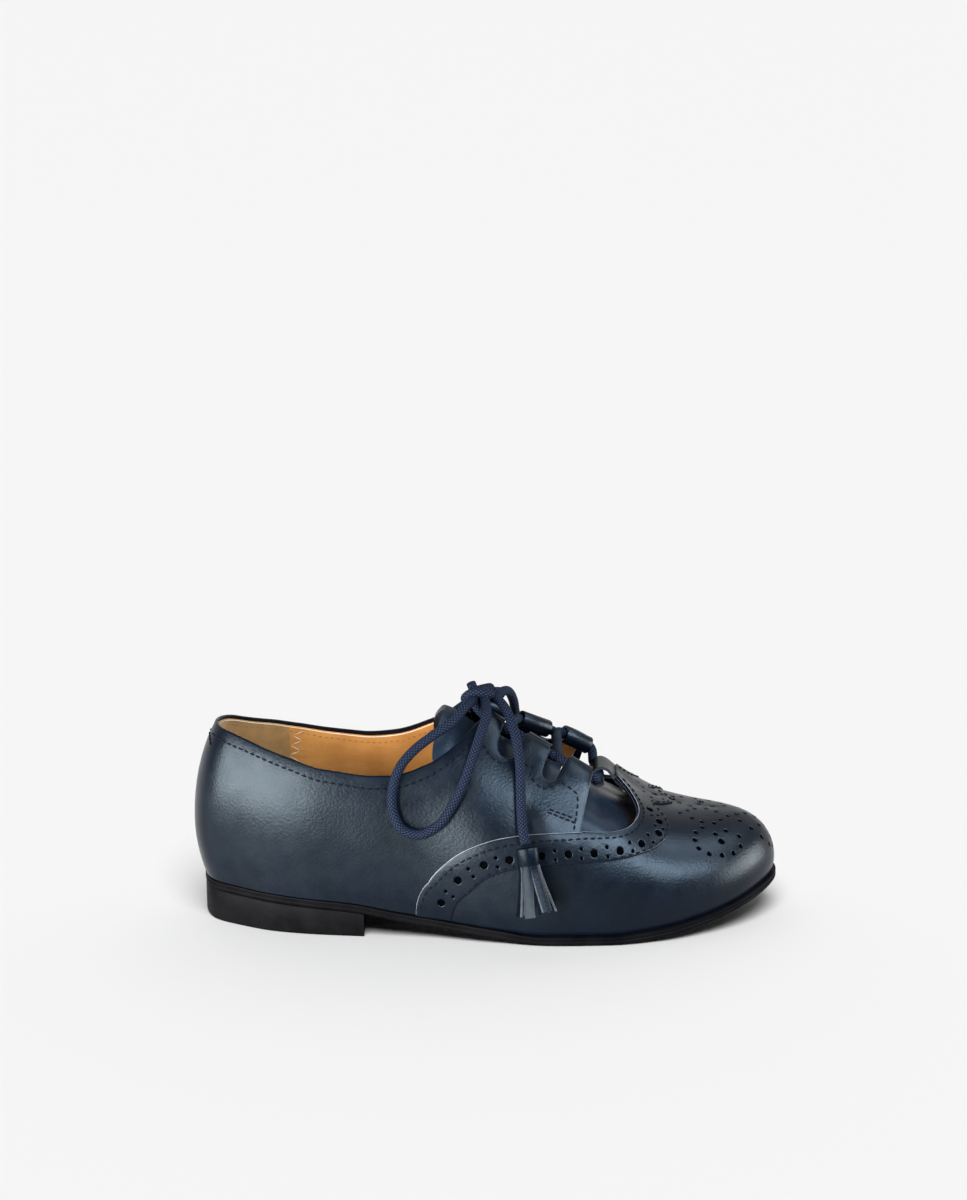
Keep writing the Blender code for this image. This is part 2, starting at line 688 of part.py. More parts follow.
def cord(name, route, material, root):
    """A length of lace as a round tube along a route."""
    points = spaced(route, LACE * 1.6)
    curve = bpy.data.curves.new(name, "CURVE")
    curve.dimensions = "3D"
    curve.bevel_depth = LACE / 2 * MM
    curve.bevel_resolution = 2
    curve.use_fill_caps = True
    spline = curve.splines.new("POLY")
    spline.points.add(len(points) - 1)
    for point, place in zip(spline.points, metres(points)):
        point.co = (*place, 1.0)
    return new_object(name, curve, material, root)


def tube_mesh(route):
    """A closed tube of lace as a mesh in millimetres."""
    points = spaced(route, LACE)
    sides = 8
    bm = bmesh.new()
    directions = np.gradient(points, axis=0)
    rings = []
    for point, direction in zip(points, directions):
        rings.append([bm.verts.new(p) for p in ring_round(point, unit(direction), LACE / 2, sides)])
    for low, high in zip(rings, rings[1:]):
        for k in range(sides):
            bm.faces.new([low[k], low[(k + 1) % sides], high[(k + 1) % sides], high[k]])
    bm.faces.new(rings[0])
    bm.faces.new(rings[-1])
    bmesh.ops.recalc_face_normals(bm, faces=bm.faces)
    return bm


def crossing(name, routes, material, root):
    """Two lengths of lace that cross over the tongue, joined where they touch."""
    first = solid_from(tube_mesh(routes[0]), name, material, root)
    second = solid_from(tube_mesh(routes[1]), name + "_other", material, root)
    join = first.modifiers.new("join", "BOOLEAN")
    join.operation = "UNION"
    join.solver = "EXACT"
    join.object = second
    bpy.context.view_layer.update()
    mesh = bpy.data.meshes.new_from_object(first.evaluated_get(bpy.context.evaluated_depsgraph_get()))
    first.modifiers.clear()
    first.data = mesh
    bpy.data.objects.remove(second, do_unlink=True)
    return first


def across(start, start_direction, end, end_direction, rise):
    """A route of lace that leaves one loop's end in line with it, crosses the throat and enters another."""
    clear = 0.5
    leave, arrive = start + start_direction * clear, end + end_direction * clear
    middle = (start + end) / 2 + np.array([0.0, 0.0, rise])
    return [leave, leave + start_direction * 1.6, middle, arrive + end_direction * 1.6, arrive]


def build_crossings(material, root):
    """The lace crosses twice on its way up: from each tab to the next one on the other side."""
    ends = {(side, n): loop_ends(side, n) for side in (LATERAL, MEDIAL) for n in range(3)}
    for number, (low, high, rise) in enumerate(((2, 1, 1.2), (1, 0, 1.2)), 1):
        routes = []
        for side in (LATERAL, MEDIAL):
            low_back, low_front = ends[side, low]
            high_back, high_front = ends[-side, high]
            low_way, high_way = unit(low_back - low_front), unit(high_front - high_back)
            routes.append(across(low_back, low_way, high_front, high_way, rise))
        crossing(f"lace_crossing_{number}", routes, material, root)


KNOT = np.array([92.8, -1.6, 72.6])
KNOT_HALF = np.array([4.2, 3.6, 3.2])


def build_knot(material, root):
    """The knot as a rounded lump above the top tabs."""
    bm = bmesh.new()
    bmesh.ops.create_icosphere(bm, subdivisions=2, radius=1.0)
    bmesh.ops.scale(bm, vec=KNOT_HALF, verts=bm.verts)
    bmesh.ops.translate(bm, vec=KNOT, verts=bm.verts)
    return solid_from(bm, "lace_knot", material, root)


# Lateral bow loop where it hangs on the wall of the quarter: place along the shoe, share, distance
BOW_ON_WALL = (
    (82.1, 0.797, 2.4),
    (79.6, 0.727, 2.4),
    (74.2, 0.657, 2.4),
    (68.9, 0.596, 2.4),
    (65.2, 0.533, 2.6),
    (64.0, 0.461, 2.4),
    (65.3, 0.395, 2.4),
    (68.8, 0.357, 2.4),
    (74.2, 0.356, 2.4),
    (79.6, 0.392, 2.4),
    (83.6, 0.459, 2.4),
    (86.4, 0.536, 2.4),
    (88.4, 0.632, 2.4),
    (89.6, 0.722, 2.4),
    (90.2, 0.80, 2.6),
)
# The medial loop hangs closer below the knot: place along the shoe, share, distance
BOW_FAR = (
    (90.6, 0.862, 2.6),
    (88.6, 0.775, 2.4),
    (85.4, 0.69, 2.4),
    (81.0, 0.61, 2.4),
    (76.6, 0.545, 2.4),
    (73.4, 0.48, 2.4),
    (72.4, 0.42, 2.4),
    (74.2, 0.37, 2.4),
    (78.6, 0.352, 2.4),
    (83.4, 0.38, 2.4),
    (87.2, 0.44, 2.4),
    (90.2, 0.52, 2.4),
    (92.4, 0.61, 2.4),
    (93.8, 0.70, 2.4),
    (94.6, 0.79, 2.4),
    (94.9, 0.86, 2.6),
)
# Lace end on the quarter, in the same way
END_ON_WALL = (
    (97.2, 0.857, 2.6),
    (99.9, 0.805, 2.5),
    (102.3, 0.737, 2.4),
    (103.9, 0.667, 2.4),
    (104.8, 0.581, 2.4),
    (105.6, 0.501, 2.6),
    (106.4, 0.446, 4.0),
    (107.3, 0.418, 5.2),
)
TASSEL_HEAD, TASSEL_LENGTH = 7.0, 23.0
TASSEL_TOP_HALF, TASSEL_FOOT_HALF = 4.0, 6.2
TASSEL_STRIPS = 7


def on_wall(rows, side):
    rows = np.array(rows)
    return [quarter_skin(turn_at(row[0]), side, row[1], row[2]) for row in rows]


def bow_route(side):
    start = KNOT + np.array([-1.9, side * (KNOT_HALF[1] + 1.0), -0.3])
    end = KNOT + np.array([1.9, side * (KNOT_HALF[1] + 1.0), -0.5])
    rows = BOW_ON_WALL if side == LATERAL else BOW_FAR
    return [start] + on_wall(rows, side) + [end]


def end_route(side):
    start = KNOT + np.array([KNOT_HALF[0] + 1.0, side * 1.6, -0.6])
    if side == LATERAL:
        return [start, np.array([100.4, -7.4, 70.7])] + on_wall(END_ON_WALL[1:], side)
    return [start, np.array([101.6, 6.2, 71.6]), np.array([103.8, 13.4, 66.6])] + on_wall(END_ON_WALL[2:], side)


def build_tassel(name, side, material, root):
    """A leather tassel: a round head and a fringe of strips that spread to the foot, fused into one body."""
    top = end_route(side)[-1]
    foot = skin(turn_at(111.0), side, 0.19, 7.6)
    down = unit(foot - top)
    top = top + down * 1.0
    per_strip = 6
    points = TASSEL_STRIPS * per_strip
    across_tassel = unit(np.cross(down, (0.0, 1.0, 0.0)))
    outward = np.cross(across_tassel, down)
    bm = bmesh.new()
    rings = []
    for run in (0.0, 1.2, TASSEL_HEAD - 0.8, TASSEL_HEAD, 12.0, 17.0, TASSEL_LENGTH):
        spread = max(0.0, (run - TASSEL_HEAD) / (TASSEL_LENGTH - TASSEL_HEAD))
        half = TASSEL_TOP_HALF + (TASSEL_FOOT_HALF - TASSEL_TOP_HALF) * spread
        half = half * (0.72 if run == 0.0 else 1.0)
        ring = []
        for k in range(points):
            angle = 2 * math.pi * k / points
            in_slot = spread > 0 and k % per_strip >= per_strip - 2
            reach = half * (0.5 if in_slot else 1.0)
            spot = across_tassel * math.cos(angle) * reach + outward * math.sin(angle) * reach * 0.72
            ring.append(bm.verts.new(top + down * run + spot))
        rings.append(ring)
    for low, high in zip(rings, rings[1:]):
        for k in range(points):
            bm.faces.new([low[k], low[(k + 1) % points], high[(k + 1) % points], high[k]])
    for ring in (rings[0], rings[-1]):
        middle = bm.verts.new(sum((np.array(v.co) for v in ring), np.zeros(3)) / points)
        for k in range(points):
            bm.faces.new([ring[k], ring[(k + 1) % points], middle])
    return solid_from(bm, name, material, root)


def leather(name, colour, roughness):
    material = bpy.data.materials.new(name)
    material.use_nodes = True
    shader = material.node_tree.nodes["Principled BSDF"]
    shader.inputs["Base Color"].default_value = (*colour, 1.0)
    shader.inputs["Roughness"].default_value = roughness
    shader.inputs["Metallic"].default_value = 0.0
    return material


def build():
    for item in list(bpy.data.objects):
        bpy.data.objects.remove(item, do_unlink=True)
    root = bpy.data.objects.new("brogue", None)
    bpy.context.scene.collection.objects.link(root)
    navy = leather("navy_leather", (0.012, 0.02, 0.045), 0.45)
    black = leather("black_sole", (0.01, 0.01, 0.011), 0.55)
    tan = leather("tan_lining", (0.62, 0.35, 0.14), 0.7)
    lace = leather("navy_lace", (0.012, 0.025, 0.07), 0.8)
    build_upper(navy, root)
    build_wing(navy, root)
    build_tongue(navy, root)
    build_insole(tan, root)
    build_outsole(black, root)
    build_heel(black, root)
    for side, side_name in ((LATERAL, "lateral"), (MEDIAL, "medial")):
        for number in range(3):
            build_loop(f"loop_{side_name}_{number + 1}", loop_ends(side, number), navy, root)
        cord(f"lace_bow_{side_name}", bow_route(side), lace, root)
        cord(f"lace_end_{side_name}", end_route(side), lace, root)
        build_tassel(f"tassel_{side_name}", side, navy, root)
    build_loop("loop_throat", throat_loop_ends(), navy, root)
    build_crossings(lace, root)
    build_knot(lace, root)
    edge = edge_loop(121)
    root.location = (-95.0 * MM - 0.15 * MM, -(edge[:, 1].min() + edge[:, 1].max()) / 2 * MM, 0.0)


build()
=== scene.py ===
# %% [markdown]
# # A child's laced brogue
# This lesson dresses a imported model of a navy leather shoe: the right shoe of a pair, with its toe along +X
# and its outer side towards -Y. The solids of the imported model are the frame. They say where everything
# lies and how big it is, and each cell below swaps a plain solid for a finished piece.

import json
import math

import bmesh
import bpy
import numpy as np
from mathutils import Matrix
from mathutils.geometry import delaunay_2d_cdt
from mathutils.kdtree import KDTree
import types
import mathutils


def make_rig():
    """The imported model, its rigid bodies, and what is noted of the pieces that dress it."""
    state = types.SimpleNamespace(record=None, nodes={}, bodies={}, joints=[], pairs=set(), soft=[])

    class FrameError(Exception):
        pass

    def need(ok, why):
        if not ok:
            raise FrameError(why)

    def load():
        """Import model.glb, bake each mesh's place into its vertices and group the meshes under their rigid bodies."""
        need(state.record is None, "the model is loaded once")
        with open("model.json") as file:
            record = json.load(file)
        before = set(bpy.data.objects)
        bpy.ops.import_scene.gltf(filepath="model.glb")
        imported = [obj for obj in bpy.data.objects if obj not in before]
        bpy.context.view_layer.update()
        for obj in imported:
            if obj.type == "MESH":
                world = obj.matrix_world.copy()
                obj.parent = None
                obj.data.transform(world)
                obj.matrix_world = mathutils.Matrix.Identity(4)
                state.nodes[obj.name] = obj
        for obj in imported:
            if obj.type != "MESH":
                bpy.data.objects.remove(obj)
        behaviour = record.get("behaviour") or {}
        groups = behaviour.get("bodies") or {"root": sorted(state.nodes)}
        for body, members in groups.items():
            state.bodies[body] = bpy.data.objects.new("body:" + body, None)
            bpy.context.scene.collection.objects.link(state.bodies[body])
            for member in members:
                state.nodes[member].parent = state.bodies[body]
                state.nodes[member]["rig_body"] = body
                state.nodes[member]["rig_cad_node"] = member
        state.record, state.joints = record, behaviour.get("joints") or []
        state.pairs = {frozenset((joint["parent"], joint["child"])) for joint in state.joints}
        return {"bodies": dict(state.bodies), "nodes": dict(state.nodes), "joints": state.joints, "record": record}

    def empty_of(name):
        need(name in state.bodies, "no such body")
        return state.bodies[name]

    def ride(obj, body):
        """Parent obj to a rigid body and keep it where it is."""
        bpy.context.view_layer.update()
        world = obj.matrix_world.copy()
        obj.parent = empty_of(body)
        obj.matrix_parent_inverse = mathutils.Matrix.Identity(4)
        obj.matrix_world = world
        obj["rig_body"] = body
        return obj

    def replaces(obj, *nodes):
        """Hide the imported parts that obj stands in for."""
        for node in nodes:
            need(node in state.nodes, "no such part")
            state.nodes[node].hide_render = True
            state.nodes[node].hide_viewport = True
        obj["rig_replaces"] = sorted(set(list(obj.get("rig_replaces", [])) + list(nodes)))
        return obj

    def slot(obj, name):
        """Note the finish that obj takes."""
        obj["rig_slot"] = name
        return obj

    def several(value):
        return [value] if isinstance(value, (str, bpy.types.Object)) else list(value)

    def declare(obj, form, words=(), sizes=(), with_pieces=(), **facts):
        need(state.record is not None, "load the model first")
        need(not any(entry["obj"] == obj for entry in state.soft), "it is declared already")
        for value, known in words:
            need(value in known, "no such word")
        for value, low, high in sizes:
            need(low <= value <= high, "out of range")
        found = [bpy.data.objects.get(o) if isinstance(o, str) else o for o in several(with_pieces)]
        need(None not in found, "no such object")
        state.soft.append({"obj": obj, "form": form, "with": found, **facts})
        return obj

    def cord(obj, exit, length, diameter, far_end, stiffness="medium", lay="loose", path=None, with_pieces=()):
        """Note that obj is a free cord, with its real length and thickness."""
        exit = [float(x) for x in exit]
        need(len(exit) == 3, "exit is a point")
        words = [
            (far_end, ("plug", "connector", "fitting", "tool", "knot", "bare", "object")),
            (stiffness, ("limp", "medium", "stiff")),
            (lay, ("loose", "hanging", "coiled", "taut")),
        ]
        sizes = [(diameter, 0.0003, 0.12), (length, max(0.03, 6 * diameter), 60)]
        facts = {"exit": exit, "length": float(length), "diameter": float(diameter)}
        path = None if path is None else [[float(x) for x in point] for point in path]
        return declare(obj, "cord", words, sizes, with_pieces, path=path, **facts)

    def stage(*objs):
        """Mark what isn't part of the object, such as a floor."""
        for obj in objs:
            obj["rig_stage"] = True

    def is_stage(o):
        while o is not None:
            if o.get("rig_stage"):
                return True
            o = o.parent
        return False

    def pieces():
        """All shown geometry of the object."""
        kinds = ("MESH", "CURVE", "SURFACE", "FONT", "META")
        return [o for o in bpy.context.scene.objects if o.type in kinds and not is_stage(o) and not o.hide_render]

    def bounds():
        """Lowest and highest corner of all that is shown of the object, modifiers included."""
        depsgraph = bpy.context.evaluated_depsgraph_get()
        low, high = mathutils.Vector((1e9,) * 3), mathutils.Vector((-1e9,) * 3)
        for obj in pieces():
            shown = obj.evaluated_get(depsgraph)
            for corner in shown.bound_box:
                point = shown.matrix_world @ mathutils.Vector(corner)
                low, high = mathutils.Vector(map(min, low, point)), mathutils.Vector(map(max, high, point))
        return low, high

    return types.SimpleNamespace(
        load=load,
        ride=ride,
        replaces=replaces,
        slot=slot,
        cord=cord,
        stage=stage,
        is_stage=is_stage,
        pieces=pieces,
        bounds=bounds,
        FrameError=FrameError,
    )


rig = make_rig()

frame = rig.load()
CAD_BOX = [[float(value) for value in corner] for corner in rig.bounds()]
MM = 0.001
# Where the frame's origin lies when places are measured from the floor below the back of the heel
ORIGIN = np.array([95.15, -0.6, 0.0])
print("nodes in the frame:", len(frame["nodes"]))


def metres(places):
    """Places in millimetres from the heel, as places in the frame."""
    return (np.asarray(places, float) - ORIGIN) * MM


# %% [markdown]
# ## Camera and studio
# The photograph looks at the outer side, slightly from above, with a long lens. The camera's place, aim and
# lens were fitted to it. The floor fills the whole picture, so one large pale sheet is floor and backdrop in
# one. Dark leather shows what it mirrors, so the world is nearly dark in front of the shoe, and each gleam in
# the photograph tells where a lamp stood: mirror the line of sight at the gleam and follow it. Four soft area
# lights stand near such places: low beyond the heel, high before the toe, high above the tabs and low beyond
# the toe. They light the shoe alone, which keeps the sheet as even as the one in the photograph. The sheet
# has a sun of its own that leans in from the front, and its width gives the soft shadow under the sole.

# %% Camera
IMAGE_HEIGHT = 1200
FOCAL_PIXELS = 2910.0
SENSOR = 36.0
CAMERA_PLACE = (95.0, -900.9, 331.44)
CAMERA_DOWN, CAMERA_TURN = 14.2015, 0.0518

camera_data = bpy.data.cameras.new("camera")
camera_data.sensor_fit = "VERTICAL"
camera_data.sensor_height = SENSOR
camera_data.lens = FOCAL_PIXELS / IMAGE_HEIGHT * SENSOR
camera_data.clip_end = 60.0
camera = bpy.data.objects.new("camera", camera_data)
camera.location = metres(CAMERA_PLACE)
camera.rotation_euler = (math.radians(90.0 - CAMERA_DOWN), 0.0, math.radians(CAMERA_TURN))
bpy.context.scene.collection.objects.link(camera)
bpy.context.scene.camera = camera
bpy.context.scene.view_settings.view_transform = "Standard"
print("lens:", round(camera_data.lens, 1), "mm")

# %% Floor and lights
FLOOR_HALF = 15.0
# Brightness of the world: at the sides, gain towards the back, gain towards the top, least and most
WORLD_SIDE, WORLD_BACK, WORLD_TOP = 0.06, 0.75, 0.2
WORLD_LEAST, WORLD_MOST = 0.02, 1.0
SUN_STRENGTH, SUN_WIDTH, SUN_TILT = 2.85, 40.0, 32.0
# Pieces whose shadow falls on the floor
FLOOR_CASTERS = ("upper_leather", "sole", "heel_block")
# Soft lights: name, place, aim, width, depth, power, colour
LIGHTS = (
    ("heel_side", (-0.48, -0.455, 0.06), (-0.05, -0.01, 0.05), 0.72, 0.62, 32.0, (1.0, 1.0, 1.0)),
    ("vamp_side", (0.43, -0.54, 0.50), (0.04, -0.02, 0.03), 0.70, 0.28, 14.6, (0.74, 0.85, 1.0)),
    ("tab_top", (0.58, -0.04, 0.87), (0.02, -0.01, 0.06), 0.55, 0.4, 5.0, (0.74, 0.85, 1.0)),
    ("toe_side", (0.79, -0.025, 0.13), (0.08, 0.0, 0.03), 0.5, 0.36, 7.5, (1.0, 1.0, 1.0)),
)
SHOE = bpy.data.collections.new("shoe")
SHEET = bpy.data.collections.new("sheet")
CASTERS = bpy.data.collections.new("casters")
bpy.context.scene.collection.children.link(SHOE)
bpy.context.scene.collection.children.link(SHEET)


def make_floor():
    bm = bmesh.new()
    bmesh.ops.create_grid(bm, x_segments=1, y_segments=1, size=FLOOR_HALF)
    mesh = bpy.data.meshes.new("floor")
    bm.to_mesh(mesh)
    bm.free()
    material = bpy.data.materials.new("pale_floor")
    material.use_nodes = True
    shader = material.node_tree.nodes["Principled BSDF"]
    shader.inputs["Base Color"].default_value = (0.88, 0.88, 0.88, 1.0)
    shader.inputs["Roughness"].default_value = 0.95
    shader.inputs["Specular IOR Level"].default_value = 0.1
    mesh.materials.append(material)
    floor = bpy.data.objects.new("floor", mesh)
    SHEET.objects.link(floor)
    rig.stage(floor)
    return floor


def add_light(name, place, aim, width, depth, power, colour):
    light_data = bpy.data.lights.new(name, "AREA")
    light_data.shape = "RECTANGLE"
    light_data.size = width
    light_data.size_y = depth
    light_data.energy = power
    light_data.color = colour
    light = bpy.data.objects.new(name, light_data)
    direction = np.array(aim) - np.array(place)
    light.location = place
    yaw = math.atan2(direction[1], direction[0])
    tilt = math.atan2(math.hypot(direction[0], direction[1]), -direction[2])
    light.rotation_euler = (tilt, 0.0, yaw - math.pi / 2)
    light.light_linking.receiver_collection = SHOE
    light.light_linking.blocker_collection = SHOE
    bpy.context.scene.collection.objects.link(light)


def add_sun():
    sun_data = bpy.data.lights.new("above", "SUN")
    sun_data.energy = SUN_STRENGTH
    sun_data.angle = math.radians(SUN_WIDTH)
    sun = bpy.data.objects.new("above", sun_data)
    sun.location = (0.0, 0.0, 2.0)
    sun.rotation_euler = (math.radians(SUN_TILT), 0.0, 0.0)
    sun.light_linking.receiver_collection = SHEET
    sun.light_linking.blocker_collection = CASTERS
    bpy.context.scene.collection.objects.link(sun)


make_floor()
add_sun()
for row in LIGHTS:
    add_light(*row)


def make_world():
    """A world whose brightness grows towards the back and the top."""
    world = bpy.data.worlds.new("studio")
    world.use_nodes = True
    tree = world.node_tree
    where = tree.nodes.new("ShaderNodeTexCoord")
    parts = tree.nodes.new("ShaderNodeSeparateXYZ")
    tree.links.new(where.outputs["Generated"], parts.inputs["Vector"])
    value = None
    for axis, gain, start in (("Y", WORLD_BACK, WORLD_SIDE), ("Z", WORLD_TOP, 0.0)):
        step = tree.nodes.new("ShaderNodeMath")
        step.operation = "MULTIPLY_ADD"
        step.inputs[1].default_value = gain
        step.inputs[2].default_value = start
        tree.links.new(parts.outputs[axis], step.inputs[0])
        if value is not None:
            tree.links.new(value, step.inputs[2])
        value = step.outputs["Value"]
    limits = tree.nodes.new("ShaderNodeClamp")
    limits.inputs["Min"].default_value = WORLD_LEAST
    limits.inputs["Max"].default_value = WORLD_MOST
    tree.links.new(value, limits.inputs["Value"])
    tree.links.new(limits.outputs["Result"], tree.nodes["Background"].inputs["Strength"])
    tree.nodes["Background"].inputs["Color"].default_value = (1.0, 1.0, 1.0, 1.0)
    bpy.context.scene.world = world


make_world()
print("lights:", len(LIGHTS))

# %% [markdown]
# ## The last
# Shoes are pulled over a last, a wooden foot. Here the last is a formula, the same one that made the solids:
# a turn that runs from the heel to the toe, a side, and a share of the girth from the sole edge (0) to the
# ridge along the top (1). Upper, wing and lining are cut flat and then laid on this surface, each at its own
# height, so that neighbours fit each other as they do on the real shoe.

# %% Sizes of the last
LATERAL, MEDIAL = -1, 1
UPPER_BACK, UPPER_TIP = 0.3, 189.4
SOLE_BACK, SOLE_TIP = 3.4, 190.0
RIDGE_BACK, RIDGE_TIP = 30.0, 171.0
WIDEST_SHARE = 0.22
GIRTH = 62.0
GAP = 0.3
WALL = 2.0

# Sole edge seen from above: place along the shoe, lateral edge, medial edge
SOLE_OUTLINE = (
    (3.4, 0.0, 0.0),
    (7.0, -12.0, 12.0),
    (16.0, -18.6, 18.6),
    (27.0, -24.0, 24.0),
    (40.0, -27.0, 26.5),
    (56.0, -28.8, 26.8),
    (76.0, -30.6, 25.8),
    (98.0, -35.0, 29.5),
    (118.0, -37.4, 34.8),
    (134.0, -36.8, 36.2),
    (150.0, -33.6, 35.6),
    (165.0, -27.4, 31.8),
    (177.0, -19.4, 25.6),
    (185.5, -9.6, 17.2),
    (190.0, 3.4, 3.4),
)
# Sections: place along the shoe, height of the sole edge, rise to the widest line, tuck below it, widening
SECTIONS = (
    (3.4, 13.6, 18.0, 3.2, 1.06),
    (20.0, 13.2, 18.0, 2.6, 1.06),
    (38.0, 12.2, 17.0, 2.0, 1.05),
    (52.0, 11.2, 15.0, 1.8, 1.04),
    (67.0, 8.6, 13.0, 1.8, 1.03),
    (82.0, 6.5, 12.0, 1.8, 1.02),
    (98.0, 4.8, 10.0, 1.6, 1.01),
    (112.0, 3.2, 9.0, 1.6, 1.0),
    (134.0, 3.2, 8.0, 1.4, 1.0),
    (150.0, 4.3, 7.0, 1.2, 1.0),
    (165.0, 6.7, 6.0, 1.0, 1.0),
    (177.0, 9.6, 5.0, 0.8, 1.0),
    (190.0, 13.2, 4.0, 0.8, 1.0),
)
# Ridge: place along the shoe, height, sideways place, roundness of the section (1 is an ellipse)
RIDGE = (
    (30.0, 80.0, 0.0, 1.0),
    (60.0, 79.0, 0.0, 1.0),
    (83.0, 77.0, 0.5, 1.0),
    (96.0, 72.0, 1.0, 1.0),
    (105.0, 67.0, 1.5, 1.0),
    (115.0, 61.5, 2.0, 1.0),
    (125.0, 55.8, 2.5, 0.98),
    (132.0, 50.2, 3.0, 0.97),
    (137.0, 44.8, 3.3, 0.96),
    (142.0, 40.0, 3.6, 0.95),
    (148.0, 36.9, 4.0, 0.93),
    (157.0, 34.4, 4.2, 0.9),
    (166.0, 33.2, 4.0, 0.88),
    (171.0, 32.6, 3.6, 0.88),
)
# How far the tops of the lace tabs stand out from the last: place along the shoe, distance outward
TAB_STAND = (
    (78.0, 0.0),
    (96.0, 0.3),
    (111.0, 1.9),
    (127.0, 4.3),
    (132.0, 4.3),
    (136.0, 0.0),
)
# Shares between which they come to stand out, and the rise for each millimetre outward
STAND_FROM, STAND_FULL, STAND_RISE = 0.56, 0.83, 0.33


# %% Surface of the last
def column(table, number):
    return np.array([row[number] for row in table], float)


def smooth(xs, ys, at):
    """A cubic curve through the points that never overshoots them, read at the places asked for."""
    xs, ys, at = np.asarray(xs, float), np.asarray(ys, float), np.asarray(at, float)
    step, slope = np.diff(xs), np.diff(ys) / np.diff(xs)
    before, after = slope[:-1], slope[1:]
    weight_before, weight_after = 2 * step[1:] + step[:-1], step[1:] + 2 * step[:-1]
    rising = before * after > 0
    safe_before, safe_after = np.where(rising, before, 1.0), np.where(rising, after, 1.0)
    inner = (weight_before + weight_after) / (weight_before / safe_before + weight_after / safe_after)
    tangent = np.concatenate([[slope[0]], np.where(rising, inner, 0.0), [slope[-1]]])
    k = np.clip(np.searchsorted(xs, at) - 1, 0, len(xs) - 2)
    t = np.clip((at - xs[k]) / step[k], 0.0, 1.0)
    return (
        ys[k] * (1 + 2 * t) * (1 - t) ** 2
        + ys[k + 1] * t**2 * (3 - 2 * t)
        + step[k] * (tangent[k] * t * (1 - t) ** 2 + tangent[k + 1] * t**2 * (t - 1))
    )


def along(turn):
    """Share of the shoe's length at a turn."""
    return (1 - np.cos(turn)) / 2


def turn_at(station):
    """The turn at a place along the shoe, in millimetres from the heel."""
    share = (np.asarray(station, float) - UPPER_BACK) / (UPPER_TIP - UPPER_BACK)
    return np.arccos(1 - 2 * np.clip(share, 0, 1))


def station_at(turn):
    return UPPER_BACK + (UPPER_TIP - UPPER_BACK) * along(turn)


def spine_at(turn):
    """The place of the ridge along the shoe at a turn."""
    return RIDGE_BACK + (RIDGE_TIP - RIDGE_BACK) * along(turn)


def sole_at(turn):
    """The place of the sole's edge along the shoe at a turn."""
    return SOLE_BACK + (SOLE_TIP - SOLE_BACK) * along(turn)


def ramp(value, start, end):
    """A share from 0 to 1 between two values."""
    return np.clip((value - start) / (end - start), 0.0, 1.0)


def eased(part):
    """A share from 0 to 1 that starts and ends gently."""
    return part * part * (3 - 2 * part)


def sole_edge_y(turn, side):
    shares = (column(SOLE_OUTLINE, 0) - SOLE_BACK) / (SOLE_TIP - SOLE_BACK)
    turns = np.arccos(1 - 2 * shares)
    lateral = smooth(turns, column(SOLE_OUTLINE, 1), turn)
    medial = smooth(turns, column(SOLE_OUTLINE, 2), turn)
    return np.where(np.asarray(side) < 0, lateral, medial)


def section(number, x):
    return smooth(column(SECTIONS, 0), column(SECTIONS, number), x)


def ridge(number, x):
    return smooth(column(RIDGE, 0), column(RIDGE, number), x)


def feather_z(x):
    """Height of the line where upper and sole meet."""
    return section(1, x)


def spine_and_brim(turn, side):
    """The ridge point and the widest point of the section at a turn, seen from above."""
    brim_x = station_at(turn)
    spine_x = spine_at(turn)
    brim = np.stack([brim_x, sole_edge_y(turn, side) * section(4, brim_x)], -1)
    spine = np.stack([spine_x, ridge(2, spine_x)], -1)
    return spine, brim


def last_point(turn, side, share):
    """A point of the leather's outer face."""
    spine, brim = spine_and_brim(turn, side)
    across = brim - spine
    ridge_z, fullness = ridge(1, spine[..., 0]), ridge(3, spine[..., 0])
    tuck = section(3, brim[..., 0]) / np.maximum(np.linalg.norm(across, axis=-1), 1e-6)
    low_z = feather_z(brim[..., 0] - across[..., 0] * tuck)
    wide_z = low_z + section(2, brim[..., 0])
    low = np.clip(share / WIDEST_SHARE, 0.0, 1.0)
    angle = np.clip((share - WIDEST_SHARE) / (1 - WIDEST_SHARE), 0.0, 1.0) * math.pi / 2
    reach = np.cos(angle) ** fullness - tuck * (1 - low) ** 2
    lower_z = low_z + (wide_z - low_z) * low
    upper_z = wide_z + (ridge_z - wide_z) * np.sin(angle)
    z = np.where(share < WIDEST_SHARE, lower_z, upper_z)
    return np.concatenate([spine + across * reach[..., None], z[..., None]], -1)


def last_normal(turn, side, share):
    """Outward direction of the leather's face."""
    small = 1e-4
    back, ahead = np.clip(turn - small, 0, math.pi), np.clip(turn + small, 0, math.pi)
    lower, upper = np.clip(share - small, 0, 1), np.clip(share + small, 0, 1)
    along_shoe = last_point(ahead, side, share) - last_point(back, side, share)
    up_side = last_point(turn, side, upper) - last_point(turn, side, lower)
    normal = np.cross(along_shoe, up_side) * -side[..., None]
    spine_x = spine_at(turn)
    rise = ridge(1, spine_x + 0.5) - ridge(1, spine_x - 0.5)
    top = np.stack([-rise, np.zeros_like(rise), np.ones_like(rise)], -1)
    normal = np.where((share > 0.995)[..., None], top, normal)
    return normal / np.linalg.norm(normal, axis=-1, keepdims=True)


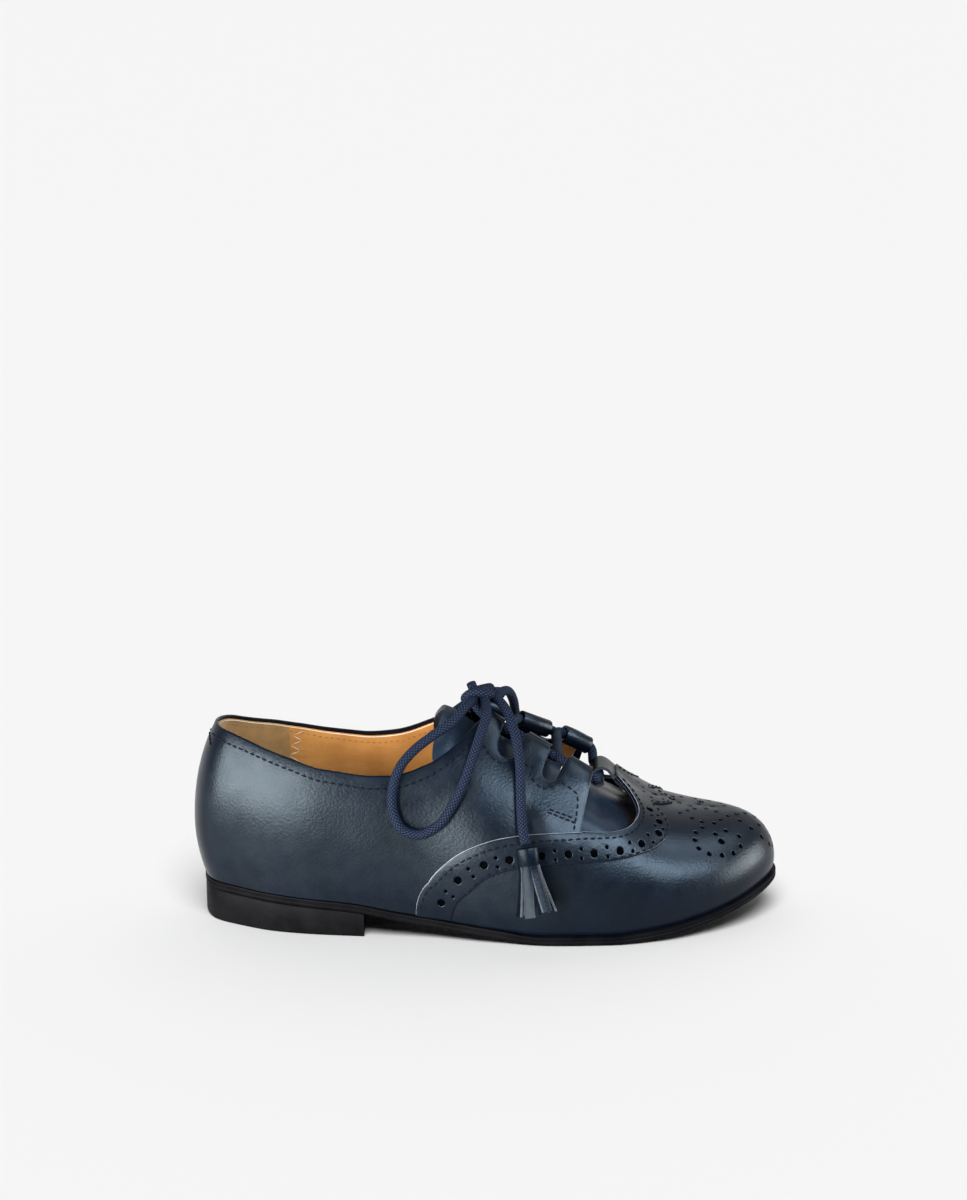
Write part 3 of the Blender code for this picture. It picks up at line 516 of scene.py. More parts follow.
def skin(turn, side, share, lift=0.0):
    """A point at a lift from the outer face. A share below 0 lies on the margin turned in under the foot."""
    turn, side, share, lift = np.broadcast_arrays(*[np.asarray(v, float) for v in (turn, side, share, lift)])
    walls = np.maximum(share, 0.0)
    point = last_point(turn, side, walls) + last_normal(turn, side, walls) * lift[..., None]
    point[..., 2] = np.maximum(point[..., 2], feather_z(point[..., 0]) + np.maximum(-lift, 0.0))
    edge = last_point(turn, side, 0.0 * share)
    inward = last_normal(turn, side, 0.0 * share) * -1.0
    inward[..., 2] = 0.0
    inward /= np.linalg.norm(inward, axis=-1, keepdims=True)
    margin = edge + inward * np.maximum(-share * GIRTH, -lift)[..., None]
    margin[..., 2] = feather_z(margin[..., 0]) - lift
    return np.where((share < 1e-6)[..., None], margin, point)


print("ridge height at the instep:", round(float(ridge(1, 105.0)), 1), "mm")

# %% [markdown]
# ## Spots, soft hollows and the flat pattern
# A spot is a pair of numbers, turn and girth, where girth runs from -1 at the lateral sole edge over 0 on the
# ridge to 1 at the medial edge. Leather never lies dead flat, so a short table adds the soft hollows and
# swells that show on the real quarter. The pattern function lays spots out flat, much as a shoemaker lays
# paper on the last: pieces are cut there, and only then mapped back onto the shoe.

# %% Spots on the last
PATTERN_SPREAD = 1.6
# Rounds of the two searches for a spot, the longest move in a round, and the step that measures a slope
RAY_ROUNDS, NEAR_ROUNDS, NEAR_MOVE, SPOT_STEP = 45, 6, 0.05, 0.004
# Soft hollows and swells: place along the shoe, share, reach along, reach in share, depth outward
HOLLOWS = (
    (106.9, 0.501, 4.0, 0.055, -0.6),
    (113.5, 0.506, 4.0, 0.05, 0.35),
    (100.6, 0.466, 7.0, 0.06, -0.3),
    (48.8, 0.303, 9.0, 0.07, -0.25),
)


def folded(spots):
    """Spots that ran past the heel or toe seam, brought back on the other side."""
    spots = np.array(spots, float)
    over = spots[..., 0] > math.pi
    under = spots[..., 0] < 0.0
    spots[..., 0] = np.where(over, 2 * math.pi - spots[..., 0], np.abs(spots[..., 0]))
    spots[..., 1] = np.where(over | under, -spots[..., 1], spots[..., 1])
    return spots


def split(spots):
    """Turn, side and share of spots."""
    spots = folded(spots)
    side = np.where(spots[..., 1] < 0, LATERAL, MEDIAL).astype(float)
    return spots[..., 0], side, 1 - np.abs(spots[..., 1])


def hollow(turn, share):
    station = station_at(turn)
    total = np.zeros_like(station)
    for place, middle, reach, span, depth in HOLLOWS:
        total += depth * np.exp(-(((station - place) / reach) ** 2) - ((share - middle) / span) ** 2)
    return total


def on_last(spots, lift=0.0):
    """Places of spots at a lift from the leather, with its soft hollows."""
    turn, side, share = split(spots)
    return skin(turn, side, share, lift + hollow(turn, share))


def on_quarter(spots, lift=0.0):
    """The same, with the lace tabs standing up and outward from the last."""
    turn, side, share = split(spots)
    out = smooth(column(TAB_STAND, 0), column(TAB_STAND, 1), station_at(turn))
    out = out * eased(ramp(share, STAND_FROM, STAND_FULL))
    stand = np.stack([0 * out, side * out, STAND_RISE * out], -1)
    return skin(turn, side, share, lift + hollow(turn, share)) + stand


def pattern(spots):
    """Spots laid out flat at about their true size, with no seam at heel or toe."""
    turn, side, share = split(spots)
    spine, brim = spine_and_brim(turn, side)
    return spine + (brim - spine) * ((1 - share) * PATTERN_SPREAD)[..., None]


def spots_from(rows, side):
    """Rows of (place along the shoe, share) as spots on one side."""
    rows = np.asarray(rows, float)
    return np.stack([turn_at(rows[:, 0]), side * (1 - rows[:, 1])], -1)


def rays_through(places):
    """Turn, side and reach of the ray from the ridge through each place in plan. Reach 1 is the brim."""
    places = np.asarray(places, float)
    spine_y = ridge(2, np.minimum(places[:, 0], RIDGE_TIP))
    side = np.where(places[:, 1] < spine_y, LATERAL, MEDIAL).astype(float)
    low, high = np.zeros(len(places)), np.full(len(places), math.pi)
    for _ in range(RAY_ROUNDS):
        middle = (low + high) / 2
        spine, brim = spine_and_brim(middle, side)
        ray, reach = brim - spine, places - spine
        behind = (ray[:, 0] * reach[:, 1] - ray[:, 1] * reach[:, 0]) * -side > 0
        low, high = np.where(behind, middle, low), np.where(behind, high, middle)
    spine, brim = spine_and_brim(low, side)
    return low, side, np.linalg.norm(places - spine, axis=1) / np.linalg.norm(brim - spine, axis=1)


def spots_above(places):
    """Spots straight above places in plan, for the flat top of the toe."""
    turn, side, reach = rays_through(places)
    fullness = ridge(3, spine_at(turn))
    angle = np.arccos(np.clip(reach ** (1 / fullness), 0, 1))
    return np.stack([turn, side * (1 - WIDEST_SHARE) * (1 - angle / (math.pi / 2))], -1)


def spots_of_pattern(flat):
    """Spots of places on the flat pattern."""
    turn, side, reach = rays_through(flat)
    return np.stack([turn, side * reach / PATTERN_SPREAD], -1)


def slopes(spots, surface):
    """How far a surface's places move over a small step of turn and of girth."""
    by_turn = surface(spots + (SPOT_STEP, 0)) - surface(spots - (SPOT_STEP, 0))
    by_girth = surface(spots + (0, SPOT_STEP)) - surface(spots - (0, SPOT_STEP))
    return by_turn, by_girth


def spots_near(targets, guess, surface=on_last):
    """Spots whose places are closest to the targets, found by a few steps from a guess."""
    spots = np.array(guess, float)
    for _ in range(NEAR_ROUNDS):
        miss = targets - surface(spots)
        by_turn, by_girth = [slope / (2 * SPOT_STEP) for slope in slopes(spots, surface)]
        a, b, c = (by_turn**2).sum(-1), (by_turn * by_girth).sum(-1), (by_girth**2).sum(-1)
        d, e = (by_turn * miss).sum(-1), (by_girth * miss).sum(-1)
        scale = np.maximum(a * c - b * b, 1e-9)
        move = np.stack([(c * d - b * e) / scale, (a * e - b * d) / scale], -1)
        spots = spots + np.clip(move, -NEAR_MOVE, NEAR_MOVE)
    return spots


def facing(spots, surface=on_last):
    """Outward directions of a surface at spots."""
    normal = np.cross(*slopes(spots, surface))
    return normal / np.linalg.norm(normal, axis=-1, keepdims=True)


check_spot = spots_from([(110.0, 0.4)], LATERAL)
print("a lateral spot faces", np.round(facing(check_spot)[0], 2))

# %% [markdown]
# ## Finishes
# All colours and textures are node materials. Most read Object coordinates, which are metres here, so a grain
# of half a millimetre has a scale of two thousand. The lace reads its UV, which runs round and along it. Dyed
# leather varies a little in colour and gloss and has a fine pebbled grain, a braided lace has flecks where
# strands catch the light, and suede has a soft nap. A finish with more to it than two tones and a fine relief
# has a short function of its own.


# %% Material helpers
def node(material, kind, **values):
    """A shader node with the given input values."""
    made = material.node_tree.nodes.new(kind)
    for name, value in values.items():
        made.inputs[name.replace("_", " ")].default_value = value
    return made


def new_material(name, roughness):
    material = bpy.data.materials.new(name)
    material.use_nodes = True
    shader = material.node_tree.nodes["Principled BSDF"]
    shader.inputs["Roughness"].default_value = roughness
    return material, shader


def wire(material, source, output, target, socket):
    material.node_tree.links.new(source.outputs[output], target.inputs[socket])


def noise(material, millimetres, detail=2.0, stretch=1.0):
    """Noise whose features are about that many millimetres across, and drawn out along the shoe."""
    where = material.node_tree.nodes.new("ShaderNodeTexCoord")
    drawn = node(material, "ShaderNodeMapping", Scale=(1 / stretch, 1.0, 1.0))
    made = node(material, "ShaderNodeTexNoise", Scale=1 / (millimetres * MM), Detail=detail)
    wire(material, where, "Object", drawn, "Vector")
    wire(material, drawn, "Vector", made, "Vector")
    return made


def cells(material, millimetres):
    """Rounded cells, as in the grain of leather."""
    where = material.node_tree.nodes.new("ShaderNodeTexCoord")
    made = node(material, "ShaderNodeTexVoronoi", Scale=1 / (millimetres * MM), Randomness=1.0)
    made.feature = "SMOOTH_F1"
    wire(material, where, "Object", made, "Vector")
    return made


def two_tones(material, shader, driver, dark, light, start=0.35, end=0.65, output="Fac"):
    """Base colour that wanders between two tones."""
    tones = material.node_tree.nodes.new("ShaderNodeValToRGB")
    for element, place, tone in zip(tones.color_ramp.elements, (start, end), (dark, light)):
        element.position = place
        element.color = (*tone, 1.0)
    wire(material, driver, output, tones, "Fac")
    wire(material, tones, "Color", shader, "Base Color")


def uneven_gloss(material, shader, driver, low, high):
    spread = node(material, "ShaderNodeMapRange", To_Min=low, To_Max=high, From_Min=0.3, From_Max=0.7)
    wire(material, driver, "Fac", spread, "Value")
    wire(material, spread, "Result", shader, "Roughness")


def add_bump(material, shader, driver, output, depth, strength):
    bump = node(material, "ShaderNodeBump", Strength=strength, Distance=depth * MM)
    wire(material, driver, output, bump, "Height")
    previous = shader.inputs["Normal"].links
    if previous:
        material.node_tree.links.new(previous[0].from_socket, bump.inputs["Normal"])
    wire(material, bump, "Normal", shader, "Normal")


# %% Finishes of this shoe
# Ridges of the braid round the lace, and for each millimetre along it
STRANDS_ROUND, STRANDS_ALONG = 8, 0.8
NAVY_DARK, NAVY_LIGHT = (0.0003, 0.0010, 0.0027), (0.0005, 0.0015, 0.0039)
# A lighter copy of the navy for the tongue: painted light where it lies in shade under the tabs and the lace
TONGUE_LIT_DARK, TONGUE_LIT_LIGHT = (0.0045, 0.0085, 0.0150), (0.0075, 0.0130, 0.0210)
GLEAM = (0.75, 0.91, 1.0, 1.0)


def navy_leather(name, dark, light, level=0.2):
    material, shader = new_material(name, 0.32)
    two_tones(material, shader, noise(material, 14.0, 3.0), dark, light)
    uneven_gloss(material, shader, noise(material, 5.0, 3.0), 0.27, 0.35)
    shader.inputs["Specular IOR Level"].default_value = level
    shader.inputs["Specular Tint"].default_value = GLEAM
    add_bump(material, shader, cells(material, 0.8), "Distance", 0.07, 0.55)
    add_bump(material, shader, noise(material, 0.35, 2.0), "Fac", 0.035, 0.4)
    return material


def plain_finish(name, roughness, millimetres, dark, light, level=0.5, relief=0.0):
    """Two tones in patches of a size, with a fine relief where one is given."""
    material, shader = new_material(name, roughness)
    shader.inputs["Specular IOR Level"].default_value = level
    two_tones(material, shader, noise(material, millimetres), dark, light)
    if relief:
        add_bump(material, shader, noise(material, 0.4), "Fac", relief, 0.5)
    return material


def sole_black():
    material, shader = new_material("sole_black", 0.5)
    shader.inputs["Specular IOR Level"].default_value = 0.025
    two_tones(material, shader, noise(material, 9.0, 3.0), (0.0010, 0.0010, 0.0013), (0.0022, 0.0022, 0.0026))
    uneven_gloss(material, shader, noise(material, 2.5, 3.0), 0.38, 0.55)
    add_bump(material, shader, noise(material, 0.8, 3.0), "Fac", 0.06, 0.4)
    return material


def tan_lining():
    material, shader = new_material("tan_lining", 0.6)
    two_tones(material, shader, noise(material, 10.0, 3.0), (0.315, 0.124, 0.023), (0.40, 0.170, 0.036))
    uneven_gloss(material, shader, noise(material, 4.0), 0.5, 0.65)
    add_bump(material, shader, cells(material, 1.1), "Distance", 0.12, 0.5)
    add_bump(material, shader, noise(material, 2.4, 2.0, 7.0), "Fac", 0.5, 0.5)
    return material


def suede_lining():
    material, shader = new_material("suede_lining", 0.95)
    two_tones(material, shader, noise(material, 5.0, 4.0), (0.19, 0.094, 0.021), (0.245, 0.126, 0.033))
    shader.inputs["Sheen Weight"].default_value = 0.1
    add_bump(material, shader, noise(material, 0.45, 3.0), "Fac", 0.15, 0.6)
    return material


def wave(material, source, strands, per_millimetre):
    """Ridges that wind round a tube, so many round it and so many for each millimetre along it."""
    parts = material.node_tree.nodes.new("ShaderNodeSeparateXYZ")
    wire(material, source, "UV", parts, "Vector")
    shares = []
    for axis, factor in (("X", strands), ("Y", per_millimetre)):
        share = material.node_tree.nodes.new("ShaderNodeMath")
        share.operation = "MULTIPLY"
        share.inputs[1].default_value = factor * math.pi
        wire(material, parts, axis, share, 0)
        shares.append(share)
    total = shares[0]
    for operation in ("ADD", "SINE", "ABSOLUTE"):
        step = material.node_tree.nodes.new("ShaderNodeMath")
        step.operation = operation
        wire(material, total, "Value", step, 0)
        if operation == "ADD":
            wire(material, shares[1], "Value", step, 1)
        total = step
    return total


def lace_navy():
    """A braided cord: two sets of ridges wind round it both ways, and where they meet a strand shows. Its colour is
    painted lighter on the crests as a highlight and darker between the strands as shade.
    """
    material, shader = new_material("braided_lace", 0.7)
    shader.inputs["Specular IOR Level"].default_value = 0.08
    where = material.node_tree.nodes.new("ShaderNodeTexCoord")
    strand = material.node_tree.nodes.new("ShaderNodeMath")
    strand.operation = "MULTIPLY"
    wire(material, wave(material, where, STRANDS_ROUND, STRANDS_ALONG), "Value", strand, 0)
    wire(material, wave(material, where, STRANDS_ROUND, -STRANDS_ALONG), "Value", strand, 1)
    # Painted shade between the strands and painted highlight on their crests
    dark, light = (0.0008, 0.0016, 0.0050), (0.014, 0.027, 0.057)
    two_tones(material, shader, strand, dark, light, 0.5, 1.0, "Value")
    add_bump(material, shader, strand, "Value", 0.22, 0.9)
    return material


NAVY = navy_leather("navy_calf", NAVY_DARK, NAVY_LIGHT)
TONGUE_NAVY_LIT = navy_leather("tongue_navy_painted_light", TONGUE_LIT_DARK, TONGUE_LIT_LIGHT)
TASSEL_NAVY = navy_leather("tassel_calf", NAVY_DARK, NAVY_LIGHT, level=0.09)
# Painted highlight: the rounded edges of the upper's tabs and the walls of the strap and the tassel strips are lighter
# than the navy
EDGE_HIGHLIGHT = plain_finish("dim_edge_highlight", 0.5, 3.0, (0.010, 0.012, 0.017), (0.020, 0.023, 0.030), relief=0.05)
# Painted highlight: the pale rounded rear edge of the wing
PALE_EDGE_HIGHLIGHT = plain_finish("pale_edge_highlight", 0.5, 3.0, (0.07, 0.076, 0.09), (0.13, 0.137, 0.15), relief=0.05)
BLACK, TAN, SUEDE, LACE_BLUE = sole_black(), tan_lining(), suede_lining(), lace_navy()
CREAM = plain_finish("cream_edge", 0.7, 3.0, (0.62, 0.55, 0.46), (0.74, 0.68, 0.60))
# Near-black of the discs behind the punched holes: painted shade, darker than the bottom of a hole would be
HOLE_SHADE_DARK, HOLE_SHADE_LIGHT = (0.0003, 0.0004, 0.0006), (0.0008, 0.0009, 0.0012)
HOLE_SHADE = plain_finish("painted_hole_shade", 0.9, 2.0, HOLE_SHADE_DARK, HOLE_SHADE_LIGHT, 0.0)
THREAD = plain_finish("thread_navy", 0.65, 1.5, (0.0006, 0.001, 0.0028), (0.0014, 0.0022, 0.0058), 0.06)
PALE_THREAD = plain_finish("thread_pale", 0.7, 1.5, (0.38, 0.29, 0.18), (0.48, 0.38, 0.25))
BROWN_THREAD = plain_finish("thread_brown", 0.7, 1.5, (0.10, 0.045, 0.016), (0.16, 0.075, 0.03))
print("finishes:", len(bpy.data.materials))


# %% Helpers that turn a bmesh into a finished piece
def finish_piece(bm, name, materials, slot, nodes=(), sharp=40.0):
    """An object of the shoe from a bmesh whose places are millimetres from the heel."""
    bmesh.ops.recalc_face_normals(bm, faces=bm.faces)
    for vert in bm.verts:
        vert.co = metres(vert.co)
    mesh = bpy.data.meshes.new(name)
    bm.to_mesh(mesh)
    bm.free()
    for material in materials:
        mesh.materials.append(material)
    mesh.shade_smooth()
    mesh.set_sharp_from_angle(angle=math.radians(sharp))
    piece = bpy.data.objects.new(name, mesh)
    SHOE.objects.link(piece)
    if name in FLOOR_CASTERS:
        CASTERS.objects.link(piece)
    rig.ride(piece, "root")
    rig.slot(piece, slot)
    if nodes:
        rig.replaces(piece, *nodes)
    print(name, "faces:", len(mesh.polygons))
    return piece


def shaped_grid(u_steps, v_steps, shape):
    """A grid whose points are moved to shape(u, v), with u and v from 0 to 1."""
    bm = bmesh.new()
    bm.loops.layers.uv.new("UVMap")
    bmesh.ops.create_grid(bm, x_segments=u_steps, y_segments=v_steps, size=1.0, calc_uvs=True)
    flat = np.array([vert.co for vert in bm.verts])
    u, v = (flat[:, 0] + 1) / 2, (flat[:, 1] + 1) / 2
    for vert, place in zip(bm.verts, shape(u, v)):
        vert.co = place
    return bm


def close_up(bm, distance=0.002):
    """Merges seams and fills the ends of a tube."""
    bmesh.ops.remove_doubles(bm, verts=bm.verts, dist=distance)
    bmesh.ops.dissolve_degenerate(bm, edges=bm.edges, dist=distance / 2)
    bmesh.ops.holes_fill(bm, edges=bm.edges, sides=0)


def add_to(bm, other):
    """Moves the content of another bmesh into this one."""
    mesh = bpy.data.meshes.new("part")
    other.to_mesh(mesh)
    other.free()
    bm.from_mesh(mesh)
    bpy.data.meshes.remove(mesh)


# %% [markdown]
# ## The lace
# The lace is a round braided cord, about three millimetres thick. It could be a plain curve with a bevel, but
# the braid is what the eye sees on the real one, so the tube is a grid rolled round its route. Its UV holds
# the way round and the run in millimetres, and the finish winds its strands by those. The routes of the bow
# and the two ends are the same as in the solids, which is where the knot and the tassels sit.

# %% Cord helpers
LACE = 3.1
# A direction that no tube here runs along, to start a frame round one
SLANTED = (0.0, 0.31, 1.0)


def nearest(share, count):
    """Numbers of the points nearest to shares of a row of so many points."""
    return np.clip(np.round(share * (count - 1)).astype(int), 0, count - 1)


def unit(vector):
    return vector / np.linalg.norm(vector, axis=-1, keepdims=True)


def spaced(route, spacing):
    """Points at an even spacing on a smooth curve through a few points."""
    route = np.array(route, float)
    knots = np.concatenate([[0], np.cumsum(np.linalg.norm(np.diff(route, axis=0), axis=1))])
    tangents = np.gradient(route, knots, axis=0)
    places = np.linspace(0, knots[-1], max(3, int(round(knots[-1] / spacing)) + 1))
    k = np.clip(np.searchsorted(knots, places, side="right") - 1, 0, len(knots) - 2)
    step = (knots[k + 1] - knots[k])[:, None]
    t = (places[:, None] - knots[k][:, None]) / step
    return (
        route[k] * (1 + 2 * t) * (1 - t) ** 2
        + route[k + 1] * t**2 * (3 - 2 * t)
        + step * (tangents[k] * t * (1 - t) ** 2 + tangents[k + 1] * t**2 * (t - 1))
    )


def frames_along(line):
    """Two directions square to a line at each of its points, turning as little as possible."""
    ways = unit(np.gradient(line, axis=0))
    across = np.zeros_like(line)
    across[0] = unit(np.cross(ways[0], SLANTED))
    for k in range(1, len(line)):
        carried = across[k - 1] - ways[k] * (across[k - 1] @ ways[k])
        across[k] = unit(carried)
    return across, np.cross(ways, across)


def lace_tube(route, spacing=0.6, sides=24):
    """A round tube along a route with its length in millimetres as the second UV, and its centre line."""
    line = spaced(route, spacing)
    across, up = frames_along(line)
    length = float(np.linalg.norm(np.diff(line, axis=0), axis=1).sum())

    def shape(u, v):
        number = nearest(v, len(line))
        angle = u * 2 * math.pi
        out = np.cos(angle)[:, None] * across[number] + np.sin(angle)[:, None] * up[number]
        return line[number] + out * LACE / 2

    bm = shaped_grid(sides, len(line) - 1, shape)
    uv = bm.loops.layers.uv.active
    for face in bm.faces:
        for loop in face.loops:
            loop[uv].uv = (loop[uv].uv[0], loop[uv].uv[1] * length)
    close_up(bm)
    print("lace of", round(length, 1), "mm")
    return bm, line


# %% [markdown]
# ### Rolled tabs and the way through them
# Each side of the throat has three tabs. Behind the top of each a strip of leather is rolled into a short
# tube, and the lace runs through these instead of punched eyelets. The tubes are placed first, because the
# lace's way is then only a list of tube ends.

# %% Places of the rolls and the way of the lace
# Lace tabs: back and front place along the shoe, share of the tab's top there
TAB_TOPS = (
    (91.4, 97.2, 0.856, 0.848),
    (106.6, 115.2, 0.846, 0.826),
    (122.4, 131.0, 0.814, 0.807),
)
ROLL_RADIUS, ROLL_WALL = 2.9, 1.0
ROLL_DEPTH = -4.0
ROLL_SHIFT = np.array([0.9, 0.0, 0.7])
STRAP_MIDDLE, STRAP_HALF = 2.9, 6.1
STRAP_CORD = np.array([131.6, STRAP_MIDDLE, 45.4])
# Steps of the lace out of the strap: along the shoe, past its half width, up
STRAP_STEPS = ((0.0, -1.5, 0.0), (-1.2, 1.6, 0.3))
# How far the lace runs straight out of a roll at its front and back, and straight inside it
OUT_FRONT, OUT_BACK, IN_ROLL = 1.2, 1.4, 1.0
# How far each half of the lace passes above or below the other where they cross
CROSSING_LIFT = {LATERAL: 1.0, MEDIAL: -1.6}


def roll_ends(side, number):
    """Back and front end of the rolled tube behind a tab."""
    back, front, back_share, front_share = TAB_TOPS[number]
    return on_quarter(spots_from([(back, back_share), (front, front_share)], side), ROLL_DEPTH) + ROLL_SHIFT


def lace_way(side):
    """One half of the lace: from the strap through the tabs, changing sides twice, up to the knot."""
    way = [STRAP_CORD]
    for ahead, past, up in STRAP_STEPS:
        way.append(STRAP_CORD + (ahead, side * (STRAP_HALF + past), up))
    here = side
    for number in (2, 1, 0):
        back, front = roll_ends(here, number)
        reach = unit(front - back)
        way += [front + reach * OUT_FRONT, front - reach * IN_ROLL]
        way += [back + reach * IN_ROLL, back - reach * OUT_BACK]
        if number:
            next_front = roll_ends(-here, number - 1)[1]
            way.append((back + next_front) / 2 + (0.0, 0.0, CROSSING_LIFT[side]))
            here = -here
    return way


for side in (LATERAL, MEDIAL):
    print("roll ends:", [np.round(roll_ends(side, n)[0]).tolist() for n in range(3)])

# %% Knot, bow and ends
KNOT = np.array([92.8, -1.6, 72.6])
# Half the knot's length and width, and how far outside them a lace begins
KNOT_LONG, KNOT_WIDE, ROOT_OUT = 4.2, 3.6, 1.0
# Where a bow leaves and enters the knot: along the shoe, up. Where an end leaves it: sideways, up
BOW_ROOTS = ((-1.9, -0.3), (1.9, -0.5))
END_ROOT = (1.6, -0.6)
# Lateral bow loop where it hangs on the quarter: place along the shoe, share, distance
BOW_ON_WALL = (
    (82.1, 0.797, 2.4),
    (79.6, 0.727, 2.4),
    (74.2, 0.657, 2.4),
    (68.9, 0.596, 2.4),
    (65.2, 0.533, 2.6),
    (64.0, 0.461, 2.4),
    (65.3, 0.395, 2.4),
    (68.8, 0.357, 2.4),
    (74.2, 0.356, 2.4),
    (79.6, 0.392, 2.4),
    (83.6, 0.459, 2.4),
    (86.4, 0.536, 2.4),
    (88.4, 0.632, 2.4),
    (89.6, 0.722, 2.4),
    (90.2, 0.80, 2.6),
)
# The medial loop hangs closer below the knot: place along the shoe, share, distance
BOW_FAR = (
    (90.6, 0.862, 2.6),
    (88.6, 0.775, 2.4),
    (85.4, 0.69, 2.4),
    (81.0, 0.61, 2.4),
    (76.6, 0.545, 2.4),
    (73.4, 0.48, 2.4),
    (72.4, 0.42, 2.4),
    (74.2, 0.37, 2.4),
    (78.6, 0.352, 2.4),
    (83.4, 0.38, 2.4),
    (87.2, 0.44, 2.4),
    (90.2, 0.52, 2.4),
    (92.4, 0.61, 2.4),
    (93.8, 0.70, 2.4),
    (94.6, 0.79, 2.4),
    (94.9, 0.86, 2.6),
)
# Lace end on the quarter, in the same way
END_ON_WALL = (
    (97.2, 0.857, 2.6),
    (99.9, 0.805, 2.5),
    (102.3, 0.737, 2.4),
    (103.9, 0.667, 2.4),
    (104.8, 0.581, 2.4),
    (105.6, 0.501, 2.6),
    (106.4, 0.446, 4.0),
    (107.3, 0.418, 5.2),
)
# Where each end passes over the edge of the throat, and how many of those rows it leaves out for that
END_OVER = {
    LATERAL: (((100.4, -7.4, 70.7),), 1),
    MEDIAL: (((101.6, 6.2, 71.6), (103.8, 13.4, 66.6)), 2),
}


def on_wall(rows, side):
    """Places of (place along the shoe, share, distance) rows on one side."""
    return [on_quarter(spots_from([row[:2]], side), row[2])[0] for row in rows]


def bow_route(side):
    start, end = [KNOT + (ahead, side * (KNOT_WIDE + ROOT_OUT), up) for ahead, up in BOW_ROOTS]
    rows = BOW_ON_WALL if side == LATERAL else BOW_FAR
    return [start] + on_wall(rows, side) + [end]


def end_route(side):
    start = KNOT + (KNOT_LONG + ROOT_OUT, side * END_ROOT[0], END_ROOT[1])
    over, left_out = END_OVER[side]
    return [start, *np.array(over), *on_wall(END_ON_WALL[left_out:], side)]


SIDES = ((LATERAL, "lateral"), (MEDIAL, "medial"))
lace_lines = {}
lace_pieces = {}
for side, side_name in SIDES:
    for kind, route in (("bow", bow_route(side)), ("end", end_route(side))):
        bm, line = lace_tube(route)
        name, node_name = f"{kind}_{side_name}", f"lace_{kind}_{side_name}"
        lace_pieces[kind, side] = finish_piece(bm, name, [LACE_BLUE], "navy_lace", [node_name])
        lace_lines[kind, side] = line


# %% Lace through the tabs
# The wrap of the knot and the stub above it, as steps from the knot's middle
KNOT_WRAP = (
    (-3.4, 2.2, -2.6),
    (-4.3, -0.6, -1.6),
    (-4.2, -3.2, 0.0),
    (-2.4, -4.6, 1.6),
    (0.2, -4.9, 1.9),
    (2.6, -4.0, 1.2),
    (3.8, -1.8, 0.0),
    (3.6, 0.8, -1.2),
)
KNOT_STUB = ((-1.2, -0.4, 0.4), (-2.0, -0.9, 2.4), (-2.6, -1.2, 4.0))
# What the knot holds on each side, in the same steps, the second one away from the middle of the shoe
KNOT_HELD = (
    ((-1.9, 5.2, -0.3), (-1.2, 2.0, 0.2), (0.6, -0.5, 0.5)),
    ((1.9, 5.2, -0.5), (1.4, 2.2, -0.2), (0.2, 0.0, -0.4)),
    ((5.6, 1.6, -0.6), (2.4, 0.9, -0.3), (0.4, 0.0, -0.2)),
)


def knot_wraps():
    """The turns of lace in the knot: a wrap that arches over the roots of the bow, and what it holds."""
    strands = [[KNOT + row for row in rows] for rows in (KNOT_WRAP, KNOT_STUB)]
    for side, _ in SIDES:
        strands += [[KNOT + np.array(row) * (1.0, side, 1.0) for row in held] for held in KNOT_HELD]
        back = roll_ends(-side, 0)[0]
        middle = (back + KNOT) / 2 + (-2.4, 0.0, 0.6)
        strands.append([back + (-1.0, 0.0, 1.0), middle, KNOT + (-0.8, -side * 0.8, -1.2)])
    return strands


def lace_runs():
    bm = lace_tube(lace_way(LATERAL))[0]
    add_to(bm, lace_tube(lace_way(MEDIAL))[0])
    return finish_piece(bm, "lace_run", [LACE_BLUE], "navy_lace", ["lace_crossing_1", "lace_crossing_2"])


def knot():
    strands = knot_wraps()
    bm = lace_tube(strands[0])[0]
    for strand in strands[1:]:
        add_to(bm, lace_tube(strand)[0])
    return finish_piece(bm, "knot", [LACE_BLUE], "navy_lace", ["lace_knot"])


lace_runs()
knot_piece = knot()

# %% [markdown]
# ## Cutting leather
# A shoemaker cuts flat leather and stretches it over the last. The same is done here. A piece starts as
# closed rings on the flat pattern: its outline, its opening and its punched holes. Between them a field of
# points is spread, everything is joined into triangles, and the sheet is laid on the last. The edge and a
# ring just inside it sit a little lower than the face, which rounds the edge. Last, the face is extruded
# inward to give the leather its thickness.

# %% Outlines
# Collar top line from the back to the first tab: place along the shoe, lateral share, medial share
COLLAR = (
    (0.3, 0.585, 0.585),
    (5.2, 0.576, 0.562),
    (11.0, 0.562, 0.54),
    (20.7, 0.534, 0.512),
    (29.5, 0.512, 0.494),
    (41.0, 0.489, 0.482),
    (51.7, 0.489, 0.486),
    (62.0, 0.506, 0.516),
    (75.0, 0.572, 0.60),
    (82.5, 0.663, 0.69),
    (87.0, 0.752, 0.765),
)
# Lace tabs, as corners of the top line: place along the shoe, share, radius of the corner
TABS = (
    (91.0, 0.862, 2.0),
    (97.4, 0.85, 1.6),
    (95.8, 0.68, 3.0),
    (101.8, 0.688, 3.0),
    (106.2, 0.846, 0.9),
    (115.6, 0.824, 0.9),
    (111.3, 0.655, 2.3),
    (116.6, 0.664, 2.3),
    (122.0, 0.815, 0.9),
    (131.5, 0.806, 0.9),
    (124.9, 0.502, 0.4),
)
# The lining stays below the tabs: place along the shoe, share, radius of the corner
LINING_TABS = (
    (90.0, 0.64, 2.0),
    (108.0, 0.62, 3.0),
    (116.0, 0.64, 2.0),
    (119.5, 0.77, 1.5),
    (129.4, 0.765, 1.5),
    (123.0, 0.55, 2.0),
)
